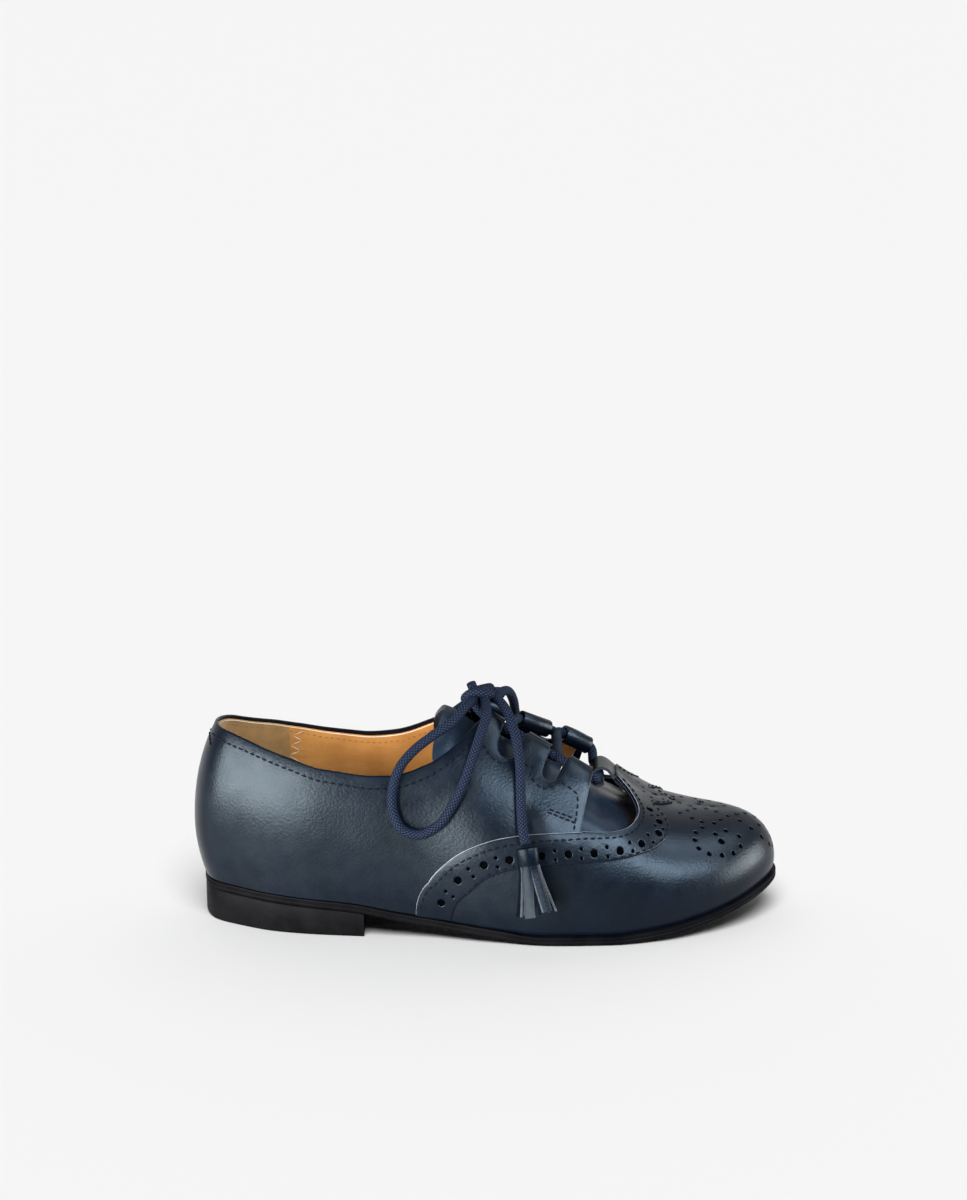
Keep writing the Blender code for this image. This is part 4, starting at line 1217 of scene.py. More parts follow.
# Rear edge of the wing: up from the sole, then forward to the foot of the quarter
WING_TOP = (
    (72.2, 0.004),
    (73.2, 0.10),
    (76.0, 0.205),
    (83.4, 0.301),
    (93.0, 0.376),
    (105.2, 0.439),
    (124.9, 0.499),
)
# The same edge from the quarter round the open throat to the root of the strap
WING_THROAT = (
    (124.9, 0.502),
    (131.6, 0.521),
    (137.5, 0.552),
    (141.5, 0.596),
    (144.8, 0.66),
    (147.0, 0.735),
    (147.2, 0.80),
    (145.8, 0.868),
    (142.4, 0.915),
)
# Front edge of the wing: up from the sole, forward, round the side lobe to a notch, then the centre lobe
WING_FRONT = (
    (83.4, 0.004),
    (85.0, 0.098),
    (88.8, 0.203),
    (94.3, 0.271),
    (101.0, 0.316),
    (113.5, 0.363),
    (124.5, 0.388),
    (137.7, 0.436),
    (148.2, 0.524),
    (155.6, 0.632),
    (158.2, 0.72),
    (157.6, 0.81),
    (156.4, 0.885),
)
WING_LOBE = (
    (156.4, 0.885),
    (160.0, 0.902),
    (164.0, 0.936),
    (167.6, 0.975),
    (168.8, 1.0),
)
EDGE_SPACING = 0.8


def flowing(rows, spacing):
    """Points at an even spacing on a smooth curve through a few (place, share) rows."""
    return spaced(np.array(rows, float) * (1.0, GIRTH), spacing) / (1.0, GIRTH)


def rounded(rows, start, end, arc_steps=6):
    """Straight lines through corner rows (place, share, radius), each corner rounded to its radius."""
    flat = [np.array(start) * (1.0, GIRTH)]
    flat += [np.array(row[:2]) * (1.0, GIRTH) for row in rows]
    flat += [np.array(end) * (1.0, GIRTH)]
    line = []
    for before, corner, after, row in zip(flat, flat[1:], flat[2:], rows):
        one, two = unit(before - corner), unit(after - corner)
        half = math.acos(max(-1.0, min(1.0, float(one @ two)))) / 2
        run = row[2] / math.tan(half)
        for step in range(arc_steps + 1):
            t = step / arc_steps
            line.append(corner + one * run * (1 - t) ** 2 + two * run * t**2)
    return np.array(line) / (1.0, GIRTH)


def divided(line, spacing):
    """The same line with points added so that no stretch is longer than the spacing."""
    parts = []
    for a, b in zip(line, line[1:]):
        steps = max(1, math.ceil(np.linalg.norm((b - a) * (1.0, GIRTH)) / spacing))
        parts += [a + (b - a) * k / steps for k in range(steps)]
    return np.array(parts + [line[-1]])


def top_line(side, tabs):
    """The upper edge on one side, from the back seam over the collar and the tabs."""
    stations = column(COLLAR, 0)
    turns = np.linspace(0, turn_at(stations[-1]), 130)
    shares = smooth(turn_at(stations), column(COLLAR, 1 if side < 0 else 2), turns)
    collar = np.stack([station_at(turns), shares], -1)
    return divided(np.concatenate([collar, rounded(tabs, collar[-1], WING_THROAT[1])]), EDGE_SPACING)


def over_the_ridge(start, end, count=8):
    """Spots on a straight line of the pattern between two spots, without its ends."""
    a, b = pattern(start), pattern(end)
    return spots_of_pattern(np.array([a + (b - a) * k / count for k in range(1, count)]))


def foot_opening(tabs):
    """The edge of the foot opening as one closed ring of spots."""
    throat = flowing(WING_THROAT, EDGE_SPACING)[1:]
    lateral, medial = [spots_from(np.concatenate([top_line(s, tabs), throat]), s) for s in (LATERAL, MEDIAL)]
    root = over_the_ridge(lateral[-1], medial[-1])
    return np.concatenate([lateral, root, medial[:0:-1]])


def girth_ring(share, count=150):
    """A closed ring of spots at one share, round heel and toe."""
    turns = np.linspace(0, math.pi, count)
    lateral = np.stack([turns, np.full(count, -(1 - share))], -1)
    medial = np.stack([turns, np.full(count, 1 - share)], -1)
    return np.concatenate([lateral, medial[-2:0:-1]])


print("points on the foot opening:", len(foot_opening(TABS)))

# %% Sheets of leather
# Rings that round an edge: distance from the edge, drop below the face
EDGE_ROUND = ((0.0, 0.28), (0.11, 0.09), (0.34, 0.0))
# Groups of points: on the rounding of an edge, anywhere else, and from 0 on the rim of a hole
EDGE_GROUP, PLAIN_GROUP = -2, -1
# Points closer than this are one, and a field keeps these shares of its spacing between rows and off rings
POINT_GAP, ROW_SHARE, CLEAR_SHARE = 0.03, 0.87, 0.6
JOIN_REACH = 1e-5


def square_to(runs):
    """Flat directions turned by a quarter to the left."""
    return np.stack([-runs[:, 1], runs[:, 0]], -1)


def moved_line(spots, distance):
    """An open line of spots moved sideways on the pattern."""
    flat = pattern(spots)
    return spots_of_pattern(flat + square_to(unit(np.gradient(flat, axis=0))) * distance)


def tree_of(places):
    """A tree that finds the nearest of many places."""
    tree = KDTree(len(places))
    for number, place in enumerate(places):
        tree.insert(place, number)
    tree.balance()
    return tree


def offset_ring(ring, distance):
    """A closed flat ring moved sideways by a distance, inward where that is positive."""
    area = np.sum(ring[:, 0] * np.roll(ring[:, 1], -1) - ring[:, 1] * np.roll(ring[:, 0], -1))
    run = unit(np.roll(ring, -1, axis=0) - np.roll(ring, 1, axis=0))
    return ring + square_to(run) * np.sign(area) * distance


def inside(polygon, points):
    """Which points lie inside a closed polygon."""
    a, b = polygon, np.roll(polygon, -1, axis=0)
    x, y = points[:, 0][:, None], points[:, 1][:, None]
    spans = (a[:, 1] > y) != (b[:, 1] > y)
    rise = np.where(b[:, 1] == a[:, 1], 1.0, b[:, 1] - a[:, 1])
    crossing = a[:, 0] + (y - a[:, 1]) * (b[:, 0] - a[:, 0]) / rise
    return (spans & (x < crossing)).sum(1) % 2 == 1


def thinned(ring):
    """A closed ring without points that lie almost on the one before."""
    gaps = np.linalg.norm(ring - np.roll(ring, 1, axis=0), axis=1)
    return ring[gaps > POINT_GAP]


def field_of_points(rings, spacing):
    """A lattice of points over flat rings, kept clear of them."""
    every = np.concatenate(rings)
    low, high = every.min(0), every.max(0)
    rows = []
    for k, y in enumerate(np.arange(low[1], high[1], spacing * ROW_SHARE)):
        x = np.arange(low[0] + (k % 2) * spacing / 2, high[0], spacing)
        rows.append(np.stack([x, np.full_like(x, y)], -1))
    lattice = np.concatenate(rows)
    tree = tree_of([(*place, 0.0) for place in every])
    clear = [tree.find((*place, 0.0))[2] > CLEAR_SHARE * spacing for place in lattice]
    return lattice[np.array(clear)]


def thicken(bm, lower_places):
    """Extrudes a face inward to lower places, given in the order of its vertices, and returns the wall."""
    number = bm.verts.layers.int.new("number")
    for k, vert in enumerate(bm.verts):
        vert[number] = k
    before = set(bm.faces)
    made = bmesh.ops.extrude_face_region(bm, geom=bm.faces[:], use_keep_orig=True)["geom"]
    below = {item for item in made if isinstance(item, bmesh.types.BMVert)}
    for vert in below:
        vert.co = lower_places[vert[number]]
    return [face for face in bm.faces if face not in before and not all(v in below for v in face.verts)]


def sheet_rings(borders, creases, holes):
    """Every ring of a sheet on the pattern, with the drop and the group of its points."""
    rows = []
    for ring, way in borders:
        for inset, drop in EDGE_ROUND:
            rows.append((offset_ring(ring, way * inset), drop, EDGE_GROUP if drop else PLAIN_GROUP))
    rows += [(pattern(crease), 0.0, PLAIN_GROUP) for crease in creases]
    for number, hole in enumerate(holes):
        for k, (ring, drop) in enumerate(hole):
            rows.append((pattern(ring), drop, number if k == 0 else PLAIN_GROUP))
    return rows


def joined(rows, spacing):
    """Triangles over rings and a field of points between them: places, drops, groups and faces."""
    rings = [ring for ring, _, _ in rows]
    edges, start = [], 0
    for ring in rings:
        ids = list(range(start, start + len(ring)))
        edges += list(zip(ids, ids[1:] + ids[:1]))
        start += len(ring)
    field = field_of_points(rings, spacing)
    counts = [len(ring) for ring in rings] + [len(field)]
    drops = np.repeat([drop for _, drop, _ in rows] + [0.0], counts)
    groups = np.repeat([group for _, _, group in rows] + [PLAIN_GROUP], counts)
    points = [tuple(point) for point in np.concatenate(rings + [field])]
    found, _, faces, origins, _, _ = delaunay_2d_cdt(points, edges, [], 0, JOIN_REACH, True)
    places = np.array([tuple(place) for place in found])
    source = np.array([origin[0] if origin else -1 for origin in origins])
    drop = np.where(source >= 0, drops[source], 0.0)
    group = np.where(source >= 0, groups[source], PLAIN_GROUP)
    return places, drop, group, np.array([list(face) for face in faces])


def leather_sheet(outline, opening, holes, surface, outer, inner, spacing=2.2, creases=(), pale_from=0.0):
    """A sheet cut from the pattern and laid on a surface. Its rounded edges get the second material: a painted
    highlight on the upper and the wing, the cream edge on the lining.
    """
    borders = [(thinned(pattern(outline)), 1.0)]
    if opening is not None:
        borders.append((thinned(pattern(opening)), -1.0))
    places, drop, group, faces = joined(sheet_rings(borders, creases, holes), spacing)
    middles = places[faces].mean(1)
    kept = inside(borders[0][0], middles)
    if opening is not None:
        kept &= ~inside(borders[1][0], middles)
    corner = group[faces]
    kept &= ~((corner[:, 0] >= 0) & (corner[:, 0] == corner[:, 1]) & (corner[:, 1] == corner[:, 2]))
    faces = faces[kept]
    spots = spots_of_pattern(places)
    pale = (group[faces] == EDGE_GROUP).all(1) & (station_at(folded(spots)[faces, 0]).mean(1) > pale_from)
    bm = bmesh.new()
    verts = [bm.verts.new(place) for place in surface(spots, outer - drop)]
    for face, edge_face in zip(faces, pale):
        made = bm.faces.new([verts[k] for k in face])
        made.material_index = int(edge_face)
    for face in thicken(bm, surface(spots, inner)):
        face.material_index = 0
    loose = [vert for vert in bm.verts if not vert.link_faces]
    bmesh.ops.delete(bm, geom=loose, context="VERTS")
    return bm


# %% [markdown]
# ## Punched holes
# Brogue holes are punched with round dies. Each one is a circle in the plane that touches the leather at its
# centre, brought onto the last, with wider circles round it that round the rim and keep the leather beyond it
# smooth. The big holes follow the wing in a row with a pair of small ones between neighbours, and the toe
# carries a medallion of its own.

# %% Circles on the leather
# Rings of a hole: distance from its rim, drop below the face
HOLE_ROUND = ((0.0, 0.18), (0.09, 0.05), (0.24, 0.0), (0.5, 0.0))
# Leather this near the ridge or this level is measured in plan, over a small step
RIDGE_GIRTH, LEVEL, PLAN_STEP = 0.25, 0.45, 0.3
CIRCLE_POINTS = 16


def plan_facing(spots):
    """Outward directions found in plan, which also work on the tip of the ridge."""
    centre = on_last(spots)
    rises = []
    for way in ((PLAN_STEP, 0.0), (0.0, PLAN_STEP)):
        ahead = on_last(spots_above(centre[:, :2] + way))[:, 2]
        behind = on_last(spots_above(centre[:, :2] - way))[:, 2]
        rises.append((ahead - behind) / (2 * PLAN_STEP))
    return unit(np.stack([-rises[0], -rises[1], np.ones(len(spots))], -1))


def circles(spots, radii):
    """Rings of spots round spots at true distances, one row of rings for each spot."""
    spots, radii = np.asarray(spots, float), np.asarray(radii, float)
    normals = facing(spots)
    on_top = (np.abs(spots[:, 1]) < RIDGE_GIRTH) | (normals[:, 2] > LEVEL)
    normals[on_top] = plan_facing(spots[on_top])
    ahead = unit(np.cross((0.0, 1.0, 0.0), normals))
    aside = np.cross(normals, ahead)
    angles = np.arange(CIRCLE_POINTS) * 2 * math.pi / CIRCLE_POINTS
    ways = np.cos(angles)[:, None] * ahead[:, None] + np.sin(angles)[:, None] * aside[:, None]
    places = on_last(spots)[:, None, None] + radii[..., None, None] * ways[:, None]
    rings = np.zeros(places.shape[:3] + (2,))
    flat_top = places[on_top][..., :2]
    rings[on_top] = spots_above(flat_top.reshape(-1, 2)).reshape(flat_top.shape)
    guess = np.broadcast_to(spots[~on_top][:, None, None], rings[~on_top].shape)
    rings[~on_top] = spots_near(places[~on_top], guess)
    return rings


def punched(holes):
    """The rings of every hole with their drops."""
    spots = np.array([spot for spot, _ in holes])
    radii = np.array([[diameter / 2 + wider for wider, _ in HOLE_ROUND] for _, diameter in holes])
    drops = [drop for _, drop in HOLE_ROUND]
    return [list(zip(rings, drops)) for rings in circles(spots, radii)]


# %% Places of the holes
# Diameters, half the distance between the two of a pair, and the least leather between two holes
BIG_HOLE, SMALL_HOLE, PAIR_HALF, HOLE_GAP = 2.5, 1.1, 1.45, 0.75
# Big holes of the wing: place along the shoe, share
BIG_HOLES = (
    (80.9, 0.118),
    (86.3, 0.251),
    (94.3, 0.318),
    (102.3, 0.356),
    (112.3, 0.393),
    (120.9, 0.414),
    (129.2, 0.434),
    (137.7, 0.471),
    (145.4, 0.541),
    (152.6, 0.637),
    (154.3, 0.717),
    (152.3, 0.789),
)
# Holes of the centre lobe in plan: place along the shoe, sideways place, diameter
LOBE_HOLES = (
    (149.7, 4.0, 2.0),
    (145.9, 1.6, 1.1),
    (145.9, 6.4, 1.1),
    (148.4, -1.2, 1.1),
    (148.4, 9.2, 1.1),
    (152.4, 1.4, 1.1),
    (152.4, 6.6, 1.1),
)
# Toe medallion in plan: start and direction of its axis, then places forward and aside with a diameter
MEDALLION_START, MEDALLION_WAY = np.array([157.6, -6.2]), np.array([0.974, 0.226])
MEDALLION = (
    (0.0, 0.0, 1.5),
    (3.3, 2.5, 1.5),
    (6.2, 4.2, 1.5),
    (10.2, 4.6, 1.5),
    (13.0, 2.5, 1.5),
    (16.3, 0.0, 1.5),
    (19.8, 1.7, 1.5),
    (23.2, 3.6, 1.5),
    (26.6, 4.3, 1.5),
    (29.6, 3.3, 1.5),
    (31.4, 1.1, 1.4),
    (27.0, 0.0, 1.5),
    (5.5, 7.0, 1.5),
    (2.6, 9.5, 1.5),
    (1.4, 12.4, 1.5),
    (2.0, 14.9, 1.5),
    (5.2, 15.9, 1.5),
    (9.7, 15.4, 1.6),
    (14.0, 13.9, 1.6),
    (17.2, 11.3, 1.5),
    (17.6, 8.4, 1.5),
    (13.3, 7.5, 1.5),
    (9.2, 9.3, 1.5),
    (10.6, 11.6, 2.2),
)


def pairs_between(spots):
    """Small holes in pairs across the row, midway between neighbouring big holes."""
    middles = (spots[1:] + spots[:-1]) / 2
    normals = facing(middles)
    runs = on_last(spots[1:]) - on_last(spots[:-1])
    across = unit(np.cross(normals, runs))
    both = [spots_near(on_last(middles) + across * half, middles) for half in (PAIR_HALF, -PAIR_HALF)]
    return np.concatenate(both)


def apart(holes):
    """Holes with the ones left out that would run into an earlier one."""
    places = on_last(np.array([spot for spot, _ in holes]))
    kept = []
    for number, (_, diameter) in enumerate(holes):
        gaps = [np.linalg.norm(places[number] - places[k]) - (holes[k][1] + diameter) / 2 for k in kept]
        if not gaps or min(gaps) > HOLE_GAP:
            kept.append(number)
    return [holes[number] for number in kept]


def wing_holes():
    holes = []
    for side in (LATERAL, MEDIAL):
        row = spots_from(BIG_HOLES, side)
        holes += [(spot, BIG_HOLE) for spot in row]
        holes += [(spot, SMALL_HOLE) for spot in pairs_between(row)]
    for x, y, diameter in LOBE_HOLES:
        holes.append((spots_above([(x, y)])[0], diameter))
    return apart(holes)


def toe_holes():
    aside_way = np.array([MEDALLION_WAY[1], -MEDALLION_WAY[0]])
    holes = []
    for forward, aside, diameter in MEDALLION:
        for way in ((1.0, -1.0) if aside else (1.0,)):
            plan = MEDALLION_START + MEDALLION_WAY * forward + aside_way * aside * way
            holes.append((spots_above([plan])[0], diameter))
    return apart(holes)


WING_HOLES, TOE_HOLES = wing_holes(), toe_holes()
print("holes in the wing:", len(WING_HOLES), "and in the toe:", len(TOE_HOLES))

# %% Painted shade in the holes
SHADE_DISC_WIDER, SHADE_DISC_THICK = 0.3, 0.06
# Lifts of the discs: between the wing's two faces and between those of the upper
WING_SHADE_LIFT, TOE_SHADE_LIFT = 0.12, -0.75


def hole_shade_discs(holes, lift, name):
    """Small near-black discs behind punched holes: painted shade at the bottom of each hole."""
    bm = bmesh.new()
    spots = [spot for spot, _ in holes]
    radii = [[diameter / 2 + SHADE_DISC_WIDER] for _, diameter in holes]
    for ring in on_last(circles(spots, radii)[:, 0], lift):
        bm.faces.new([bm.verts.new(place) for place in ring])
    bmesh.ops.solidify(bm, geom=bm.faces[:], thickness=SHADE_DISC_THICK)
    return finish_piece(bm, name, [HOLE_SHADE], "navy_leather")


# Discs inside the wing and inside the upper paint the shade at the bottom of every punched hole
hole_shade_discs(WING_HOLES, WING_SHADE_LIFT, "wing_hole_shade")
hole_shade_discs(TOE_HOLES, TOE_SHADE_LIFT, "toe_hole_shade")

# %% [markdown]
# ## Upper, wing and lining
# The upper is one sheet with the foot opening cut out of it and a narrow margin turned in under the foot. The
# wing lies on top of it. Its rear edge is a clean cut, rounded and painted pale as a highlight, and its front
# edge is gimped, a fine zigzag cut with a notched blade. Towards that edge the wing is pared, which means cut
# thinner. The lining has soft suede at the heel and smooth tan leather in front, and behind the tabs it is
# faced with navy leather.

# %% Upper
LEATHER = 0.9
# Share of the margin under the foot, and the station from which the rounded edge of the opening gets its painted
# highlight
TURNED_IN, TAB_EDGE_FROM = -0.05, 88.0


def upper():
    bm = leather_sheet(
        girth_ring(TURNED_IN), foot_opening(TABS), punched(TOE_HOLES), on_quarter, 0.0, -LEATHER,
        creases=[girth_ring(0.0)], pale_from=TAB_EDGE_FROM,
    )
    return finish_piece(bm, "upper_leather", [NAVY, EDGE_HIGHLIGHT], "navy_leather", ["upper"])


upper()

# %% Wing
WING_LOW, WING_HIGH = 0.03, 0.95
GIMP_STEP, GIMP_DEPTH = 0.45, 0.11
# Faces this near the rear edge keep its painted highlight
CLEAN_REACH = 0.8
# Width of the pared strip along the front edge, and the share of the lift that is left there
PARED_WIDE, PARED_SHARE = 8.0, 0.5
FINE_SPACING = 0.5


def pared_surface():
    """The last's surface, with lifts that go down to a share of themselves at the wing's front edge."""
    rows = flowing(np.concatenate([WING_FRONT, WING_LOBE[1:]]), FINE_SPACING)
    edge = np.concatenate([spots_from(rows, LATERAL), spots_from(rows, MEDIAL)])
    tree = tree_of(on_last(edge))

    def surface(spots, lift=0.0):
        away = np.array([tree.find(place)[2] for place in on_last(spots)])
        return on_last(spots, lift * (PARED_SHARE + (1 - PARED_SHARE) * ramp(away, 0.0, PARED_WIDE)))

    return surface


on_wing = pared_surface()


def gimped(spots):
    """A cut edge whose points step in and out of their line."""
    step = np.where(np.arange(len(spots)) % 2 == 0, GIMP_DEPTH, -GIMP_DEPTH)
    step[-1] = 0.0
    return moved_line(spots, step[:, None])


def wing():
    rear = np.concatenate([flowing(WING_TOP, EDGE_SPACING), flowing(WING_THROAT, EDGE_SPACING)[1:]])
    front = np.concatenate([flowing(WING_FRONT, GIMP_STEP), flowing(WING_LOBE, GIMP_STEP)[1:]])
    lateral, medial = spots_from(rear, LATERAL), spots_from(rear, MEDIAL)
    root = over_the_ridge(lateral[-1], medial[-1])
    medial_front, lateral_front = gimped(spots_from(front, MEDIAL)), gimped(spots_from(front, LATERAL))
    outline = np.concatenate([lateral, root, medial[::-1], medial_front, lateral_front[-2::-1]])
    bm = leather_sheet(outline, None, punched(WING_HOLES), on_wing, WING_HIGH, WING_LOW, spacing=1.8)
    tree = tree_of(on_last(np.concatenate([lateral, medial]), WING_HIGH))
    for face in bm.faces:
        if face.material_index and tree.find(face.calc_center_median())[2] > CLEAN_REACH:
            face.material_index = 0
    return finish_piece(bm, "wing", [NAVY, PALE_EDGE_HIGHLIGHT], "navy_leather", ["wing_band"])


wing()

# %% Lining
# Stations of the seam in front of the suede, and of the navy facing behind the tabs
SEAM_STATION = 30.0
FACING_BACK, FACING_FRONT = 78.0, 108.0
# Share of its lower edge, and its distance from the upper's leather
LINING_LOW, LINING_GAP = 0.02, 0.1
# How far its upper edge is set back, and how far along the open throat
LINING_BACK, THROAT_BACK = 0.5, 4.0
# Where that changes: stations and shares below the last tab, and stations before it
BELOW_STATIONS, BELOW_SHARES, BEFORE_STATIONS = (114.0, 120.0), (0.60, 0.55), (128.5, 130.5)


def lining():
    flat = thinned(pattern(foot_opening(LINING_TABS)))
    spots = spots_of_pattern(flat)
    stations, shares = station_at(spots[:, 0]), 1 - np.abs(spots[:, 1])
    below_tab = ramp(stations, *BELOW_STATIONS) * ramp(shares, *BELOW_SHARES)
    before_tab = ramp(stations, *BEFORE_STATIONS)
    back = LINING_BACK + (THROAT_BACK - LINING_BACK) * np.maximum(below_tab, before_tab)
    flat = offset_ring(flat, -back[:, None])
    opening = spots_of_pattern(flat)
    bm = leather_sheet(
        girth_ring(LINING_LOW), opening, [], on_quarter, -LEATHER - LINING_GAP, -WALL, pale_from=-1.0,
    )
    for station in (SEAM_STATION, FACING_BACK, FACING_FRONT):
        parts = bm.verts[:] + bm.edges[:] + bm.faces[:]
        bmesh.ops.bisect_plane(bm, geom=parts, plane_co=(station, 0.0, 0.0), plane_no=(1.0, 0.0, 0.0))
    for face in bm.faces:
        station = face.calc_center_median().x
        if FACING_BACK < station < FACING_FRONT:
            face.material_index = 3
        elif station < SEAM_STATION and face.material_index == 0:
            face.material_index = 2
    return finish_piece(bm, "lining", [TAN, CREAM, SUEDE, NAVY], "tan_lining")


lining()

# %% [markdown]
# ## Tongue and strap
# The tongue lies under the tabs and sags between them. A short strap grows out of the wing on the centre
# line, rises and curls back under itself, and the lace starts from inside that curl. Both are grids shaped by
# a rule and thickened: the tongue from the last, the strap from a profile drawn from the side.

# %% Tongue
TONGUE_THICK = 1.6
# Shares between which the tongue comes to sag, and the share at the corners of its top
SAG_FROM, SAG_FULL, TOP_CORNER = 0.46, 0.86, 0.56
# Slack of the tongue below the upper's wall on the ridge: place on the ridge, depth
TONGUE_SLACK = (
    (70.0, 5.5),
    (83.0, 6.5),
    (96.0, 9.7),
    (110.0, 9.4),
    (125.0, 9.6),
    (130.0, 9.2),
    (136.0, 6.0),
    (146.0, 0.8),
)
# Side edge of the tongue and its top: place along the shoe against share
TONGUE_SIDE = ((71.0, 0.60), (78.0, 0.555), (100.0, 0.48), (126.0, 0.45), (157.0, 0.50))
TONGUE_TOP = ((0.56, 77.0), (0.60, 75.0), (0.70, 73.6), (0.85, 72.5), (1.0, 71.5))
TONGUE_FRONT = 157.0


def tongue_place(spots, lift):
    turn, side, share = split(spots)
    place = skin(turn, side, share, -WALL - GAP + lift)
    depth = smooth(column(TONGUE_SLACK, 0), column(TONGUE_SLACK, 1), spine_at(turn))
    place[..., 2] -= depth * eased(ramp(share, SAG_FROM, SAG_FULL))
    return place


def tongue_spots(u, v):
    aside = 2 * u - 1
    top_share = 1 - (1 - TOP_CORNER) * np.abs(aside)
    top = smooth(column(TONGUE_TOP, 0), column(TONGUE_TOP, 1), top_share)
    station = TONGUE_FRONT + (top - TONGUE_FRONT) * v
    girth = (1 - smooth(column(TONGUE_SIDE, 0), column(TONGUE_SIDE, 1), station)) * aside
    return np.stack([turn_at(station), girth], -1)


def slab(u_steps, v_steps, face, thickness):
    """A shaped grid with a thickness. Its walls get the second material."""
    kept = {}

    def shape(u, v):
        kept["below"] = face(u, v, -thickness)
        return face(u, v, 0.0)

    bm = shaped_grid(u_steps, v_steps, shape)
    for wall in thicken(bm, kept["below"]):
        wall.material_index = 1
    return bm


def tongue():
    bm = slab(70, 90, lambda u, v, lift: tongue_place(tongue_spots(u, v), lift), TONGUE_THICK)
    # Its face takes the lighter navy, painted light for the shade below the tabs
    return finish_piece(bm, "tongue_leather", [TONGUE_NAVY_LIT, NAVY], "navy_leather", ["tongue"])


tongue()

# %% Strap
STRAP_THICK = 0.9
# Profile of the strap seen from the side: place along the shoe, height
STRAP_PROFILE = (
    (144.0, 39.6),
    (141.5, 41.2),
    (138.5, 43.6),
    (136.2, 46.3),
    (134.2, 48.1),
    (132.2, 48.7),
    (130.2, 47.9),
    (128.9, 46.0),
    (128.8, 43.9),
    (129.8, 42.2),
    (131.6, 41.8),
    (133.4, 42.6),
)
# How much further forward its far side is rooted, and how fast that is lost along it
STRAP_SKEW, SKEW_FADE = 3.0, 2.2


def strap():
    flat = [(x, 0.0, z) for x, z in STRAP_PROFILE]
    line = spaced(flat, FINE_SPACING)
    run = unit(np.gradient(line, axis=0))
    normal = np.stack([-run[:, 2], 0 * run[:, 1], run[:, 0]], -1) * -1.0

    def face(u, v, lift):
        number = nearest(u, len(line))
        place = line[number] + normal[number] * lift
        place[:, 1] = STRAP_MIDDLE + STRAP_HALF * (2 * v - 1)
        place[:, 0] += STRAP_SKEW * (v - 0.5) * np.clip(1.0 - u * SKEW_FADE, 0.0, 1.0)
        return place

    bm = slab(len(line) - 1, 16, face, STRAP_THICK)
    return finish_piece(bm, "strap", [NAVY, EDGE_HIGHLIGHT], "navy_leather", ["loop_throat"])


strap()

# %% [markdown]
# ## Rolled tubes behind the tabs
# The top of each lace tab is rolled in to a short tube. It could be a cylinder with a hole cut through it,
# but a profile of its wall, with rounded ends, gives both in one step when the spin operator turns it once
# round the tube's axis.

# %% Rolls
# How far each tube of the medial side goes on past its ends, back and front
ROLL_MORE = ((1.0, 0.4), (2.4, 0.2), (0.4, 1.2))
# Rounding of a tube's outer corners, and how far the middle of that rounding lies in
ROLL_CORNER, ROLL_BEVEL = 0.25, 0.07


def turned(profile, start, way, steps=28):
    """A closed ring body: a profile of (run along the axis, radius) spun round an axis."""
    way = unit(np.asarray(way, float))
    across = unit(np.cross(way, SLANTED))
    bm = bmesh.new()
    verts = [bm.verts.new(start + way * run + across * radius) for run, radius in profile]
    edges = [bm.edges.new(pair) for pair in zip(verts, verts[1:] + verts[:1])]
    bmesh.ops.spin(
        bm, geom=verts + edges, cent=start, axis=way, angle=2 * math.pi, steps=steps, use_merge=True,
    )
    return bm


def roll(side, side_name, number):
    back, front = roll_ends(side, number)
    reach = unit(front - back)
    if side == MEDIAL:
        back, front = back - reach * ROLL_MORE[number][0], front + reach * ROLL_MORE[number][1]
    length = float(np.linalg.norm(front - back))
    bore, shoulder, bevel = ROLL_RADIUS - ROLL_WALL, ROLL_RADIUS - ROLL_CORNER, ROLL_RADIUS - ROLL_BEVEL
    half = [(0.0, bore), (0.0, shoulder), (ROLL_BEVEL, bevel), (ROLL_CORNER, ROLL_RADIUS)]
    profile = half + [(length - run, radius) for run, radius in reversed(half)]
    name = f"{side_name}_{number + 1}"
    bm = turned(profile, back, front - back)
    return finish_piece(bm, f"roll_{name}", [NAVY], "navy_leather", [f"loop_{name}"])


for side, side_name in SIDES:
    for number in range(3):
        roll(side, side_name, number)

# %% [markdown]
# ## Sole, heel and insole
# The sole is a thin slab with a lip, a groove and a rounded lower corner. Its outline is followed with
# sections from heel to toe: every section is the same little profile on the outer side and mirrored on the
# inner side, so one grid rolled round those sections closes the whole body.

# %% Soles
SOLE_DROP = 3.2
HEEL_BREAST = 56.0
# Sections along each body, and points of the outline that they are picked from
SOLE_STEPS, HEEL_STEPS, SOCK_STEPS, OUTLINE_STEPS = 170, 70, 90, 721
# Edge of the sole from bottom to top: distance in from the outline, height against the sole line
SOLE_PROFILE = (
    (1.3, -3.2),
    (0.4, -3.05),
    (0.06, -2.6),
    (0.0, -2.0),
    (0.06, -1.75),
    (0.26, -1.62),
    (0.26, -1.28),
    (0.06, -1.15),
    (0.02, -0.85),
    (0.12, -0.5),
    (0.6, -0.3),
)
# The same for the heel, with heights as shares of its own, and for the insole, above the upper's wall
HEEL_PROFILE = ((1.0, 0.0), (0.45, 0.03), (0.25, 0.09), (0.2, 0.5), (0.2, 0.93), (0.34, 0.96), (0.34, 1.0))
SOCK_PROFILE = ((0.0, 0.0), (0.0, 1.6), (0.3, 2.0))
# Share of the last that the insole's outline follows, and its distance from the lining
SOCK_SHARE, SOCK_CLEAR = 0.03, 1.1


